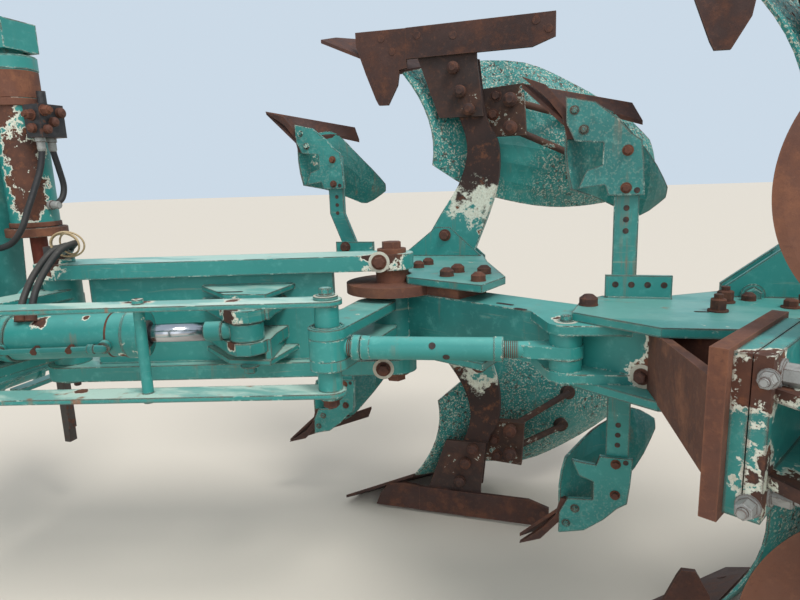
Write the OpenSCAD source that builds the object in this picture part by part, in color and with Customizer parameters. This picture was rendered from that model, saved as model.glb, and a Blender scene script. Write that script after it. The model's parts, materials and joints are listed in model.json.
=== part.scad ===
// Reversible three-furrow moldboard plough, mounted, in millimetres.
// X points forward along the furrow, Y to the left, Z up from the ground.
// The turnover axis runs along X. Upper and lower bodies mirror each other about it.

/* [Stance] */
// Height of the turnover axis above the ground
axis_h = 889; // [860:1:940]

/* [Bodies] */
// Distance from one body to the next along the furrow
body_step = 960; // [900:5:1020]
// Width of one furrow
furrow_w = 510; // [480:5:530]
// Thickness of a leg
leg_t = 35; // [25:1:38]
// Thickness of the landside bar
landside_t = 14; // [10:1:16]
// Height of the landside bar
landside_h = 98; // [80:1:120]
// Distance from the share point to the heel of the landside bar
landside_l = 797; // [700:1:860]
// Thickness of the frog plates
frog_t = 14; // [10:1:18]
// Thickness of a mouldboard
board_t = 8; // [6:0.5:10]
// Thickness of a share
share_t = 12; // [8:1:15]
// Diameter of a mouldboard stay
stay_d = 24; // [18:1:30]
// Width of a skimmer stalk
stalk_w = 56; // [45:1:65]
// Thickness of a skimmer stalk
stalk_t = 16; // [12:1:20]

/* [Beam] */
// Width of the beam
beam_w = 130; // [120:1:140]
// Height of the beam
beam_h = 130; // [120:1:140]
// Thickness of the leg bracket plates
bracket_t = 20; // [15:1:25]
// Thickness of the hinge plates at the front of the beam
hinge_t = 28; // [22:1:30]
// Diameter of the pin between fork and beam
hinge_pin_d = 60; // [50:1:66]
// Diameter of the turnbuckle tube
buckle_d = 54; // [46:1:60]
// Diameter of the post that carries the link bars
post_d = 58; // [50:1:64]

/* [Fork and links] */
// Distance between the two vertical pivots of the fork
fork_l = 991; // [960:1:1020]
// Angle of the fork to the furrow
fork_a = 15.5; // [14:0.5:17]
// Distance from the fork's rear pivot to the unploughed side of the first body
hinge_to_side = 396; // [380:1:430]
// Width of the fork plates
fork_w = 140; // [120:1:150]
// Distance from the axis to the outer face of the fork plates
fork_out = 176; // [174:1:182]
// Thickness of the fork plates
fork_t = 45; // [40:1:47]
// Width of a link bar
link_w = 76; // [66:1:84]
// Thickness of a link bar
link_t = 12; // [10:1:14]
// Distance from the axis to the outer face of a link bar
link_out = 116; // [112:1:120]

/* [Side shift cylinder] */
// Outer diameter of the barrel
shift_d = 126; // [110:1:134]
// Diameter of the rod
shift_rod_d = 50; // [40:1:56]
// Length of rod that shows
shift_show = 158; // [140:1:180]

/* [Turning gear] */
// Distance from the turnover axis to the crank pin
crank_r = 106; // [105:1:115]
// Diameter of the turnover shaft
shaft_d = 110; // [100:1:114]
// Outer diameter of the turning cylinder
turn_d = 140; // [130:1:146]
// Diameter of the turning cylinder's rod
turn_rod_d = 50; // [40:1:56]
// Height of the turning cylinder's top pin above the axis
turn_top = 846; // [830:1:856]

/* [Headstock] */
// Distance between the shoulders of the lower link pins
link_pin_gap = 825; // [800:1:900]
// Diameter of a lower link pin
lower_pin_d = 36.6; // [36.6:0.1:37.4]
// Length of a lower link pin
link_pin_l = 110; // [100:1:130]
// Diameter of the top link hole
top_hole_d = 32; // [25.7:0.1:32.2]
// Gap between the two top link ears
top_gap = 54; // [52:1:60]
// Side of the square stand legs
stand_w = 34; // [28:1:40]

/* [Wheel and coulters] */
// Diameter of the depth wheel
wheel_d = 660; // [600:5:700]
// Width of the depth wheel
wheel_w = 190; // [160:1:200]
// Diameter of the disc coulters
coulter_d = 457; // [420:1:470]

/* [Hidden] */
$fn = 48;

// Colours
paint = "mediumturquoise";
rust = "saddlebrown";
dark_rust = "sienna";
steel = "silver";
black = "dimgray";

// Clearances
slip = 0.5;
seat = 0.3;

// Plan of the linkage, with the turnover axis along Y = 0
fork_front = [15, 0];
fork_rear = fork_front - fork_l * [cos(fork_a), sin(fork_a)];
post_off = [31, 401];
post_at = fork_rear + post_off;
link_front = fork_front + post_off;
rod_eye = fork_front + [-632, 18];
barrel_pin = fork_front + [45, 238];
turn_x = 200;

// Plan of the bodies
tip_x = fork_rear[0] + 367;
first_side_y = hinge_to_side - fork_rear[1];
board_tail = 1156;
board_reach = 678;
beam_a = atan2(furrow_w, -body_step);
beam_dir = [cos(beam_a), sin(beam_a)];
beam_left = [sin(beam_a), -cos(beam_a)];
beam_off = [-27, 145];
beam_ref = [tip_x - body_step, furrow_w - first_side_y] + beam_off;
beam_front_s = -700;
beam_rear_s = 1461;

// Plan points of the beam, at distance s behind its reference and t to its left
function on_beam(s, t) = beam_ref + s * beam_dir + t * beam_left;

// Hitch and depth wheel
hitch_at = [660, -330];
hitch_nose = 45;
top_at = [600, 395];
wheel_pivot = on_beam(700, 420);
wheel_y = wheel_pivot[1] + 197;

// Heights measured from the axis
fork_in = fork_out - fork_t;
link_in = link_out - link_t;
hinge_z = beam_h / 2 + seat;
hinge_boss_d = 130;
link_pin_d = 34;

// Length that the part takes, for centring it
front_x = hitch_at[0] + hitch_nose;
tail_x = tip_x - 2 * body_step - board_tail;
right_y = -first_side_y - board_reach;
left_y = wheel_y + wheel_w / 2;
mid = [(front_x + tail_x) / 2, (right_y + left_y) / 2];

// Smooth curve through points, with steps pieces between each pair
function spline_at(a, b, c, d, u) =
    0.5 * (2 * b + (c - a) * u + (2 * a - 5 * b + 4 * c - d) * u * u + (3 * b - a - 3 * c + d) * u * u * u);
function spline(p, steps) = [for (i = [0:len(p) - 2], k = [0:steps - 1])
    spline_at(p[max(i - 1, 0)], p[i], p[i + 1], p[min(i + 2, len(p) - 1)], k / steps), p[len(p) - 1]];

// Curved shell between a lower and an upper edge; each section of the table is
// [low x, low y, low height, top x, top y, top height, hollow x, hollow y]
function shell_point(row, v) = let (low = [row[0], row[1], row[2]], top = [row[3], row[4], row[5]])
    low + (top - low) * v + 4 * v * (1 - v) * [row[6], row[7], 0];
function unit(v) = v / norm(v);
function shell_front(rows, rise, i, j) = shell_point(rows[i], j / rise);
// Point of the shell's grid, moved t behind its front face
function shell_behind(rows, rise, i, j, t) = let (
    a = shell_front(rows, rise, max(i - 1, 0), j),
    b = shell_front(rows, rise, min(i + 1, len(rows) - 1), j),
    c = shell_front(rows, rise, i, max(j - 1, 0)), d = shell_front(rows, rise, i, min(j + 1, rise)))
    shell_front(rows, rise, i, j) + t * unit(cross(b - a, d - c));

module shell(rows, rise, t) {
    n = len(rows);
    m = rise + 1;
    front = [for (i = [0:n - 1], j = [0:rise]) shell_front(rows, rise, i, j)];
    back = [for (i = [0:n - 1], j = [0:rise]) shell_behind(rows, rise, i, j, t)];
    quads = [for (i = [0:n - 2], j = [0:rise - 1]) let (a = i * m + j) [a, a + m, a + m + 1, a + 1]];
    rim = concat([for (i = [0:n - 1]) i * m], [for (j = [1:rise]) (n - 1) * m + j],
        [for (i = [n - 2:-1:0]) i * m + rise], [for (j = [rise - 1:-1:1]) j]);
    k = n * m;
    tri_front = [for (q = quads) each [[q[0], q[1], q[2]], [q[0], q[2], q[3]]]];
    tri_back = [for (q = quads) each [[q[0] + k, q[2] + k, q[1] + k], [q[0] + k, q[3] + k, q[2] + k]]];
    sides = [for (i = [0:len(rim) - 1]) let (a = rim[i], b = rim[(i + 1) % len(rim)])
        each [[a, b + k, b], [a, a + k, b + k]]];
    polyhedron(concat(front, back), concat(tri_front, tri_back, sides));
}

// Flat plate with corners in space, carried along a given direction
function total(v, i = 0) = i < len(v) - 1 ? v[i] + total(v, i + 1) : v[i];
module slab(corners, along) {
    n = len(corners);
    facing = total([for (i = [0:n - 1]) cross(corners[i], corners[(i + 1) % n])]) * along;
    ring = facing < 0 ? corners : [for (i = [n - 1:-1:0]) corners[i]];
    polyhedron(concat(ring, [for (p = ring) p + along]), concat([[for (i = [n - 1:-1:0]) i]],
        [[for (i = [0:n - 1]) i + n]], [for (i = [0:n - 1]) [i, (i + 1) % n, (i + 1) % n + n, i + n]]));
}

// Round bar between two points
module bar(a, b, d) {
    v = b - a;
    translate(a) rotate([0, acos(v[2] / norm(v)), atan2(v[1], v[0])]) cylinder(d = d, h = norm(v));
}

// Tube swept along a route, with eight sides
function ring_at(p, dir, r) = let (side = unit(cross(dir, [0.31, 0.95, 0.05])), up = cross(side, dir))
    [for (k = [0:7]) p + r * (cos(45 * k) * side + sin(45 * k) * up)];
module hose(route, d) {
    p = spline(route, 3);
    n = len(p);
    points = [for (i = [0:n - 1]) each ring_at(p[i], unit(p[min(i + 1, n - 1)] - p[max(i - 1, 0)]), d / 2)];
    walls = [for (i = [0:n - 2], k = [0:7]) let (a = i * 8 + k, b = i * 8 + (k + 1) % 8)
        [a, b, b + 8, a + 8]];
    polyhedron(points, concat([[for (k = [7:-1:0]) k]], walls, [[for (k = [0:7]) (n - 1) * 8 + k]]));
}

// Upright plate: an outline in X and Z from y down to y - t
module upright(outline, y, t) {
    translate([0, y, 0]) rotate([90, 0, 0]) linear_extrude(t) polygon(outline);
}

// Level plate: an outline in X and Y from z up to z + t
module level(outline, z, t) {
    translate([0, 0, z]) linear_extrude(t) polygon(outline);
}

module both() {
    children();
    mirror([0, 0, 1]) children();
}

module in_place() {
    translate([-mid[0], -mid[1], axis_h]) children();
}

module at_body(k) {
    in_place() translate([tip_x - (k - 1) * body_step, (k - 1) * furrow_w - first_side_y, 0]) children();
}

// Height from the share's ground plane to the distance from the axis
function up(h) = axis_h - h;
function raise(p) = [p[0], p[1], up(p[2])];

/* Working bodies, measured from the share point on the unploughed side */

leg_y = -landside_t - frog_t;
leg_back = leg_y - leg_t;
// Leg edges, each row [distance from the axis as a share of the axis height, front x, rear x]
leg_rows = [[0.8313, -420, -545], [0.6524, -483, -572], [0.5703, -506, -608],
    [0.4961, -505, -617], [0.4027, -476, -610], [0.2891, -410, -579],
    [0.1496, -333, -530], [0.0889, -290, -514]];

module leg() {
    front = spline([for (r = leg_rows) [r[1], axis_h * r[0]]], 3);
    rear = spline([for (r = leg_rows) [r[2], axis_h * r[0]]], 3);
    half = concat([for (i = [len(rear) - 1:-1:0]) rear[i]], front);
    low = [for (i = [len(half) - 1:-1:0]) [half[i][0], -half[i][1]]];
    color(dark_rust) upright(concat(half, low), leg_y, leg_t);
}

// Frog plate corners, each [x, height]
frog_plate = [[-300, 14], [-546, 14], [-546, 120], [-567, 308], [-417, 305], [-345, 105], [-300, 90]];
// Arms from the frog to the board, each [x, height, step along the board, step up it]
frog_arms = [[-450, 170, 4, 1], [-500, 265, 4, 3]];
arm_d = 34;
frog_right = [[-546, 120], [-567, 308], [-478, 305], [-400, 110]];
frog_bolts = [[-470, 150], [-492, 226], [-520, 285]];

module frog_side() {
    plate = [for (p = frog_plate) [p[0], up(p[1])]];
    upright(plate, -landside_t - seat, frog_t - seat);
    upright([for (p = frog_right) [p[0], up(p[1])]], leg_back, frog_t);
    for (b = frog_bolts)
        translate([b[0], -landside_t - seat, up(b[1])]) rotate([-90, 0, 0]) cylinder(d = 20, h = 6);
    for (arm = frog_arms) {
        root = [arm[0], leg_back - frog_t / 2, up(arm[1])];
        bar(root, raise(behind_board(arm[2], arm[3], rod_in)), arm_d);
        board_pad(arm[2], arm[3]);
    }
}

module frog() {
    color(dark_rust) both() frog_side();
}

board_rows = [
    [-290, -16, 152, -388, -16, 460, -38, 0],
    [-372, -150, 118, -500, -112, 545, -66, 0],
    [-470, -338, 80, -610, -205, 590, -85, 50],
    [-660, -350, 100, -760, -330, 622, -70, 90],
    [-830, -385, 180, -909, -450, 622, -50, 80],
    [-1000, -468, 282, -1050, -580, 596, -30, 55],
    [-1118, -570, 385, -1150, -678, 535, -8, 18]];
board_grid = spline(board_rows, 3);
board_rise = 8;

// Point t behind the board's back, at step i along it and j up it, and a round pad that bears on it there
pad_near = 0.8;
pad_far = 24;
rod_in = 20;
pad_d = 52;
function behind_board(i, j, t) = shell_behind(board_grid, board_rise, i, j, board_t + t);
module board_pad(i, j) {
    bar(raise(behind_board(i, j, pad_near)), raise(behind_board(i, j, pad_far)), pad_d);
}

module board() {
    mirror([0, 0, 1]) translate([0, 0, -axis_h]) shell(board_grid, board_rise, board_t);
}

module boards() {
    color(paint) both() board();
}

// Height at a plan point of the plane through a, b and c
function on_plane(p, a, b, c) = let (n = cross(b - a, c - a))
    a[2] - (n[0] * (p[0] - a[0]) + n[1] * (p[1] - a[1])) / n[2];
share_plane = [[-30, -70, 0], [-400, -420, 0], [-284, -5, 144]];
share_plan = [[0, -5], [-30, -70], [-400, -420], [-452, -352], [-284, -5], [-130, -5]];
share_rise = [for (p = share_plan) on_plane(p, share_plane[0], share_plane[1], share_plane[2])];
share_lift = share_t - min(share_rise);

module share() {
    n = len(share_plan);
    low = [for (i = [0:n - 1]) [share_plan[i][0], share_plan[i][1], up(share_rise[i] + share_lift)]];
    slab(low, [0, 0, share_t]);
}

// Fin on the share, as [x, height]
fin_end = -310;
fin_full = [[-131, 9], [-132, 55], [-164, 148], [-197, 233], [-207, 252], [-240, 253], [-276, 190],
    [-284, 142], [fin_end, 138], [fin_end, 12]];
fin_worn = [[-131, 12], [-150, 60], [-186, 108], [-250, 116], [fin_end, 112], [fin_end, 12]];

module shares(lower_fin) {
    color(rust) {
        share();
        upright([for (p = fin_full) [p[0], up(p[1])]], 0, landside_t);
        mirror([0, 0, 1]) {
            share();
            upright([for (p = lower_fin) [p[0], up(p[1])]], 0, landside_t);
        }
    }
}

module landsides() {
    start = fin_end - seat;
    chamfer = 72;
    low = 11;
    bar_side = [[start, up(low)], [-landside_l, up(low)], [-landside_l, up(landside_h - 14)],
        [chamfer - landside_l, up(low + landside_h)], [start, up(low + landside_h)]];
    color(rust) both() upright(bar_side, 0, landside_t);
}

clamp_x = -650;
clamp_t = 34;
// Where each stay meets the board, as [step along it, step up it]
stay_steps = [[10, 3], [10, 5]];
module stays() {
    left_y = leg_back - frog_t - seat;
    color(dark_rust) both() {
        upright([[-538, up(215)], [-690, up(205)], [-700, up(372)], [-560, up(372)]], left_y, clamp_t);
        for (i = [0:1]) {
            from = [clamp_x, left_y - clamp_t / 2, up(258 + 90 * i)];
            translate([from[0], left_y - 2, from[2]]) rotate([-90, 0, 0]) cylinder(d = 38, h = 20);
            bar(from, raise(behind_board(stay_steps[i][0], stay_steps[i][1], rod_in)), stay_d);
            board_pad(stay_steps[i][0], stay_steps[i][1]);
        }
    }
}

/* Skimmers, each row of the table is [forward shift, outward shift, kink of the stalk, longer point] */
skimmer_rows = [[2, 30, -45, 18], [0, 0, 0, 0], [0, 0, 0, 0]];
skim_shell = [
    [100, 16, 372, 91, 16, 545, 10, 0],
    [55, -54, 356, 28, -110, 571, -16, 8],
    [0, -104, 360, -30, -150, 600, -18, 12],
    [-89, -140, 460, -78, -184, 618, -12, 10],
    [-145, -218, 548, -142, -226, 576, 0, 0]];
skim_rise = 4;
skim_t = 6;
skim_share_t = 9;
skim_plane = [[206, -4, 277], [-50, -165, 335], [120, -4, 352]];
skim_plan = [[-50, -165], [-75, -140], [0, -96], [108, 17], [206, 10]];
// Plate that clamps the stalk, with an ear behind the board, and the shin in front of it, each [x, height]
skim_frog = [[104, 330], [38, 346], [-10, 384], [-42, 419], [-66, 436], [-72, 490], [-76, 560], [4, 560],
    [12, 535], [72, 542], [54, 500], [18, 488], [18, 438], [82, 432], [102, 390]];
skim_shin = [[206, 277], [146, 331], [112, 375], [100, 425], [86, 425], [96, 366], [150, 300]];
skim_frog_t = 12;
skim_shin_t = 14;
skim_shin_y = 20;
stalk_x = -10;
stalk_top = 445;

module stalks(k) {
    row = skimmer_rows[k - 1];
    top = up(stalk_top) + row[1];
    foot = bracket_low(k) + bracket_t + seat;
    side = [[stalk_x + row[0], top], [stalk_x + row[0] - stalk_w, top], [stalk_x + row[0] - stalk_w, 270],
        [stalk_x + row[2] - stalk_w, 150], [stalk_x + row[2] - stalk_w, foot],
        [stalk_x + row[2], foot], [stalk_x + row[2], 150], [stalk_x + row[0], 270]];
    color(paint) both() upright(side, stalk_t, stalk_t);
}

module skimmers(k) {
    row = skimmer_rows[k - 1];
    last = len(skim_plan) - 1;
    reach = [for (i = [0:last]) skim_plan[i] + (i == last ? [row[3], 0] : [0, 0])];
    low = [for (p = reach) raise([p[0], p[1], on_plane(p, skim_plane[0], skim_plane[1], skim_plane[2])])];
    shin = [for (i = [0:len(skim_shin) - 1]) [skim_shin[i][0] + (i == 0 ? row[3] : 0), up(skim_shin[i][1])]];
    color(paint) both() translate([row[0], 0, row[1]]) {
        mirror([0, 0, 1]) translate([0, 0, -axis_h]) shell(spline(skim_shell, 3), skim_rise, skim_t);
        slab(low, [0, 0, -skim_share_t]);
        upright([for (p = skim_frog) [p[0], up(p[1])]], stalk_t + seat + skim_frog_t, skim_frog_t);
        upright(shin, skim_shin_y, skim_shin_t);
    }
}

/* Beam and what it carries */

function box_plan(s0, s1, t0, t1) = [on_beam(s0, t0), on_beam(s1, t0), on_beam(s1, t1), on_beam(s0, t1)];

// Cylinder standing on a plan point, from z up to z + h
module post(at, z, d, h) {
    translate([at[0], at[1], z]) cylinder(d = d, h = h);
}

// Where the turnbuckle meets the beam
buckle_end = post_at + [-537, -78];
buckle_pin_d = 36;
eye_half = 24;
ear_t = 22;
ear_d = 84;
ear_boss_d = 72;
// Flat eye at the turnbuckle's rear end, and how far from it the sleeve stops
flat_half = 14;
flat_reach = 80;
sleeve_gap = 135;
// Plate on the beam's rear end
end_t = 12;
end_lip = 6;

module beam() {
    half = beam_h / 2;
    wide = beam_w / 2 + end_lip;
    color(paint) in_place() {
        difference() {
            union() {
                level(box_plan(beam_front_s, beam_rear_s, -beam_w / 2, beam_w / 2), -half, beam_h);
                post(fork_rear, -half, hinge_boss_d, beam_h);
                level(box_plan(beam_rear_s - 1, beam_rear_s + end_t, -wide, wide), -half - end_lip,
                    beam_h + 2 * end_lip);
                both() {
                    hull() {
                        post(buckle_end, half - ear_t, ear_d, ear_t, $fn = 32);
                        level(box_plan(-190, 60, 20, beam_w / 2), half - ear_t, ear_t);
                    }
                    post(buckle_end, flat_half + seat, ear_boss_d, half - ear_t - flat_half);
                }
            }
            post(fork_rear, -beam_h, hinge_pin_d + 2 * slip, 2 * beam_h);
        }
        post(buckle_end, 1 - half, buckle_pin_d, beam_h - 2);
    }
}

disc_d = 270;
module hinge_plates() {
    color(rust) in_place() both() difference() {
        union() {
            post(fork_rear, hinge_z, disc_d, hinge_t);
            level(box_plan(-690, -420, 5 - beam_w / 2, beam_w / 2 - 5), hinge_z, hinge_t);
        }
        post(fork_rear, hinge_z - 10, hinge_pin_d + 2 * slip, hinge_t + 20);
    }
}

collar_d = 96;
module hinge_pin() {
    collar_z = hinge_z + hinge_t + seat;
    color(rust) in_place() {
        post(fork_rear, -fork_out - 12, hinge_pin_d, 2 * fork_out + 24);
        both() {
            post(fork_rear, collar_z, collar_d, fork_in - seat - collar_z);
            post(fork_rear, fork_out + seat, 84, 12);
            translate([fork_rear[0], fork_rear[1], fork_out + 12]) cylinder(d = 58, h = 20, $fn = 6);
        }
    }
}

// Lever from the hinge to the post that carries the link bars and the turnbuckle
lever_t = 26;
module lever() {
    pin_top = link_out + seat;
    color(paint) in_place() {
        both() difference() {
            hull() {
                post(post_at, eye_half + seat, 92, lever_t, $fn = 32);
                post(fork_rear + [20, 92], eye_half + seat, 110, lever_t, $fn = 32);
            }
            post(fork_rear, 0, hinge_boss_d + 2 * seat, beam_h);
        }
        post(post_at, seat - link_in, post_d, 2 * (link_in - seat));
        post(post_at, -pin_top, link_pin_d, 2 * pin_top);
        both() post(post_at, pin_top, 58, 8);
    }
}

module turnbuckle() {
    span = buckle_end - post_at;
    l = norm(span);
    color(paint) in_place() difference() {
        translate([post_at[0], post_at[1], 0]) rotate([0, 0, atan2(span[1], span[0])]) {
            cylinder(d = 92, h = 2 * eye_half, center = true);
            hull() for (x = [l, l - flat_reach])
                translate([x, 0, 0]) cylinder(d = x == l ? 78 : 44, h = 2 * flat_half, center = true, $fn = 32);
            translate([30, 0, 0]) rotate([0, 90, 0]) cylinder(d = 38, h = l - flat_reach - 28);
            translate([82, 0, 0]) rotate([0, 90, 0]) cylinder(d = buckle_d, h = l - 82 - sleeve_gap);
        }
        post(post_at, -60, post_d + 2 * slip, 120);
        post(buckle_end, -60, buckle_pin_d + 2 * slip, 120);
    }
}

// Plan outlines of the leg brackets, measured from the share point
bracket_plan = [[75, 203], [-96, 320], [-262, 306], [-345, 212], [-530, 30], [-545, -92], [-262, -92],
    [-150, -20], [10, 4], [60, 80]];
first_bracket_plan = [[-660, 560], [-430, 452], [-400, 380], [-300, 60], [60, 30], [60, 4], [-230, -92],
    [-545, -92], [-600, 120], [-700, 420]];
cheek_half = [[-262, 0], [-262, 110], [-395, 215], [-445, 215], [-560, 110], [-560, 0]];
cheek_t = 12;

// Height of a bracket's inner face above the axis: the first one lies on the hinge plates
function bracket_low(k) = beam_h / 2 + seat + (k == 1 ? hinge_t + seat : 0);

// Webs between the beam's right face and the leg, each row [x at the beam, x at the leg]
webs = [[-85, -275], [-330, -520]];
first_webs = [[-478, -300], [-610, -530]];
web_w = 17;
beam_side = beam_off - (beam_w / 2 + seat) * beam_left;
function beam_right(x) = beam_side[1] + (x - beam_side[0]) * beam_dir[1] / beam_dir[0];

// Upstand on each plate that holds a skimmer stalk, each row [rear x, front x]
upstands = [[-175, -30], [-145, 5], [-145, 5]];
upstand_h = 75;

module bracket(k) {
    first = k == 1;
    low = bracket_low(k);
    ends = upstands[k - 1];
    left_y = leg_y + seat + cheek_t;
    color(paint) at_body(k) {
        difference() {
            union() {
                both() level(first ? first_bracket_plan : bracket_plan, low, bracket_t);
                for (y = [left_y, leg_back - seat])
                    both() upright(cheek_half, y, cheek_t);
                for (w = first ? first_webs : webs)
                    level([[w[0], beam_right(w[0])], [w[0] - web_w, beam_right(w[0] - web_w)],
                        [w[1] - web_w, left_y], [w[1], left_y]], -low, 2 * low);
                both() translate([ends[0], stalk_t + seat, low]) cube([ends[1] - ends[0], 12, upstand_h]);
            }
            translate([-532, leg_back - seat, -300]) cube([254, leg_t + 2 * seat, 600]);
            if (first)
                post(fork_rear - [tip_x, -first_side_y], -300, collar_d + 12, 600);
        }
    }
}

/* Front linkage, in the fork's own axes where noted */

module on_fork() {
    in_place() translate([fork_front[0], fork_front[1], 0]) rotate([0, 0, fork_a]) children();
}

lug_at = [cos(fork_a) * -632 + sin(fork_a) * 18, sin(fork_a) * 632 + cos(fork_a) * 18];
lug_half = 27;
lug_t = 34;
rod_pin_d = 34;
web_y = 8;
web_t = 26;
module fork() {
    root = [lug_at[0] + 190, web_y];
    color(paint) on_fork() {
        difference() {
            union() {
                both() hull() {
                    translate([0, 0, fork_in]) cylinder(d = fork_w, h = fork_t, $fn = 32);
                    translate([-fork_l, 0, fork_in]) cylinder(d = fork_w - 14, h = fork_t, $fn = 32);
                }
                translate([170 - fork_l, web_y, -fork_in - 1]) cube([fork_l - 270, web_t, 2 * fork_in + 2]);
                both() level([root, lug_at + [50, 20], lug_at + [20, 48], lug_at + [-20, 48],
                    lug_at + [-48, 20], [lug_at[0] - 80, web_y]], lug_half, lug_t);
                both() level([root, lug_at + [60, -10], lug_at + [-60, 10], [lug_at[0] - 110, web_y]], 84, 14);
                both() translate([lug_at[0] - 62, web_y, lug_half]) cube([18, lug_at[1] - web_y, 60]);
            }
            for (x = [0, -fork_l])
                translate([x, 0, -300]) cylinder(d = hinge_pin_d + 2 * slip, h = 600);
        }
        post(lug_at, -lug_half - lug_t, rod_pin_d, 2 * (lug_half + lug_t));
    }
}

module link_bars() {
    color(paint) in_place() {
        both() difference() {
            hull() {
                post(post_at, link_in, link_w, link_t, $fn = 32);
                post(link_front, link_in, link_w, link_t, $fn = 32);
            }
            for (p = [post_at, link_front])
                post(p, 0, link_pin_d + 2 * slip, 300);
        }
        tie = post_at + (link_front - post_at) * 0.45;
        post(tie, -link_out - 12, 26, 2 * link_out + 24);
    }
}

// Side shift cylinder, along the line from its barrel pin to the rod eye
shift_span = rod_eye - barrel_pin;
shift_l = norm(shift_span);
shift_a = atan2(shift_span[1], shift_span[0]);
rod_neck = 66;
rod_eye_d = 90;
gland_x = shift_l - rod_eye_d / 2 - rod_neck - shift_show;
barrel_eye_half = 60;
barrel_pin_d = 40;

module on_shift() {
    in_place() translate([barrel_pin[0], barrel_pin[1], 0]) rotate([0, 0, shift_a]) children();
}

module shift_barrel() {
    color(paint) on_shift() difference() {
        union() {
            cylinder(d = 92, h = 2 * barrel_eye_half, center = true);
            translate([30, 0, 0]) rotate([0, 90, 0]) cylinder(d = 80, h = 40);
            translate([62, 0, 0]) rotate([0, 90, 0]) cylinder(d = shift_d - 8, h = gland_x - 62);
            translate([gland_x - 48, 0, 0]) rotate([0, 90, 0]) cylinder(d = shift_d, h = 48);
            translate([62, 0, 0]) rotate([0, 90, 0]) cylinder(d = shift_d, h = 30);
        }
        cylinder(d = barrel_pin_d + 2 * slip, h = 300, center = true);
        translate([gland_x - 230, 0, 0]) rotate([0, 90, 0]) cylinder(d = shift_rod_d + 2 * slip, h = 400);
    }
}

drift = 3.8;
module shift_rod() {
    color(steel) on_shift() difference() {
        union() {
            translate([gland_x - 130, 0, 0]) rotate([0, 90, 0])
                cylinder(d = shift_rod_d, h = shift_l - gland_x + 130 - rod_eye_d / 2 - 20);
            translate([shift_l - rod_eye_d / 2 - 40, 0, 0]) rotate([0, 90, 0])
                cylinder(d = shift_rod_d - 6, h = 52);
            translate([shift_l - rod_eye_d / 2 - rod_neck, 0, 0]) rotate([0, 90, 0])
                cylinder(d = shift_rod_d + 3, h = 43);
            translate([shift_l, 0, 0]) cylinder(d = rod_eye_d, h = 2 * (lug_half - 3), center = true);
        }
        translate([shift_l, 0, -60]) cylinder(d = rod_pin_d + 2 * drift, h = 120);
    }
}

// Carrier on the turnover shaft, which holds the pivots of fork, links and barrel
carrier_in = 70;
carrier_t = 28;
flange_x = 96;
flange_t = 24;
module carrier() {
    color(paint) in_place() {
        post(fork_front, seat - fork_in, 104, 2 * (fork_in - seat));
        both() hull() {
            post(fork_front, carrier_in, 104, carrier_t, $fn = 32);
            post(barrel_pin, carrier_in, 64, carrier_t, $fn = 32);
            post(link_front, carrier_in, 70, carrier_t, $fn = 32);
        }
        translate([fork_front[0], -75, -carrier_in - 1])
            cube([flange_x + 1 - fork_front[0], 150, 2 * carrier_in + 2]);
        translate([flange_x, 0, 0]) rotate([0, 90, 0]) cylinder(d = 230, h = flange_t);
        post(link_front, seat - link_in, 62, 2 * (link_in - seat));
        post(barrel_pin, -carrier_in - carrier_t, barrel_pin_d, 2 * (carrier_in + carrier_t));
        post(link_front, -link_out - 8, link_pin_d, 2 * (link_out + 8));
        post(fork_front, -fork_out - 12, hinge_pin_d, 2 * (fork_out + 12));
        both() post(fork_front, fork_out + seat, 84, 12);
    }
}

crank_x = 150;
crank_t = 18;
shaft_front = 500;
module turnover_shaft() {
    shaft_rear = flange_x + flange_t;
    color(paint) in_place() {
        translate([shaft_rear, 0, 0]) rotate([0, 90, 0])
            cylinder(d = shaft_d, h = shaft_front - shaft_rear);
        hull() {
            translate([crank_x, 0, 0]) rotate([0, 90, 0]) cylinder(d = 150, h = crank_t, $fn = 32);
            translate([crank_x, -crank_r, 0]) rotate([0, 90, 0]) cylinder(d = 84, h = crank_t, $fn = 32);
        }
        translate([shaft_front - 22, 0, 0]) rotate([0, 90, 0]) cylinder(d = shaft_d + 44, h = 22);
    }
}

/* Headstock and hitch */

bearing_x = 300;
bearing_l = 174;
bearing_d = 176;
tower_t = 24;
tower_y = -95;
side_y = 150;
side_t = 18;
tower_foot = -215;
module headstock() {
    tower = [[-230, tower_foot], [230, tower_foot], [230, -90], [120, 60], [tower_y + 75, turn_top - 60],
        [tower_y + 55, turn_top + 38], [tower_y - 55, turn_top + 38], [tower_y - 75, turn_top - 60],
        [-120, 60], [-230, -90]];
    ear = [[bearing_x, 100], [bearing_x, 430], top_at + [-20, 45], top_at + [45, 30], top_at + [45, -40],
        [430, 70]];
    color(paint) in_place() difference() {
        union() {
            translate([bearing_x, 0, 0]) rotate([0, 90, 0]) cylinder(d = bearing_d, h = bearing_l);
            translate([bearing_x, 0, 0]) rotate([90, 0, 90]) linear_extrude(tower_t) polygon(tower);
            for (y = [top_gap / 2 + side_t, -top_gap / 2])
                upright(ear, y, side_t);
            for (y = [tower_y + 48, tower_y - 60])
                translate([turn_x - 55, y, turn_top - 46]) cube([bearing_x - turn_x + 56, 12, 84]);
            translate([turn_x - 55, tower_y - 55, turn_top - 46]) cube([18, 110, 84]);
        }
        translate([bearing_x - 50, 0, 0]) rotate([0, 90, 0]) cylinder(d = shaft_d + 2 * slip, h = 400);
        translate([top_at[0], 0, top_at[1]]) rotate([90, 0, 0])
            cylinder(d = top_hole_d, h = 400, center = true);
    }
}

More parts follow.
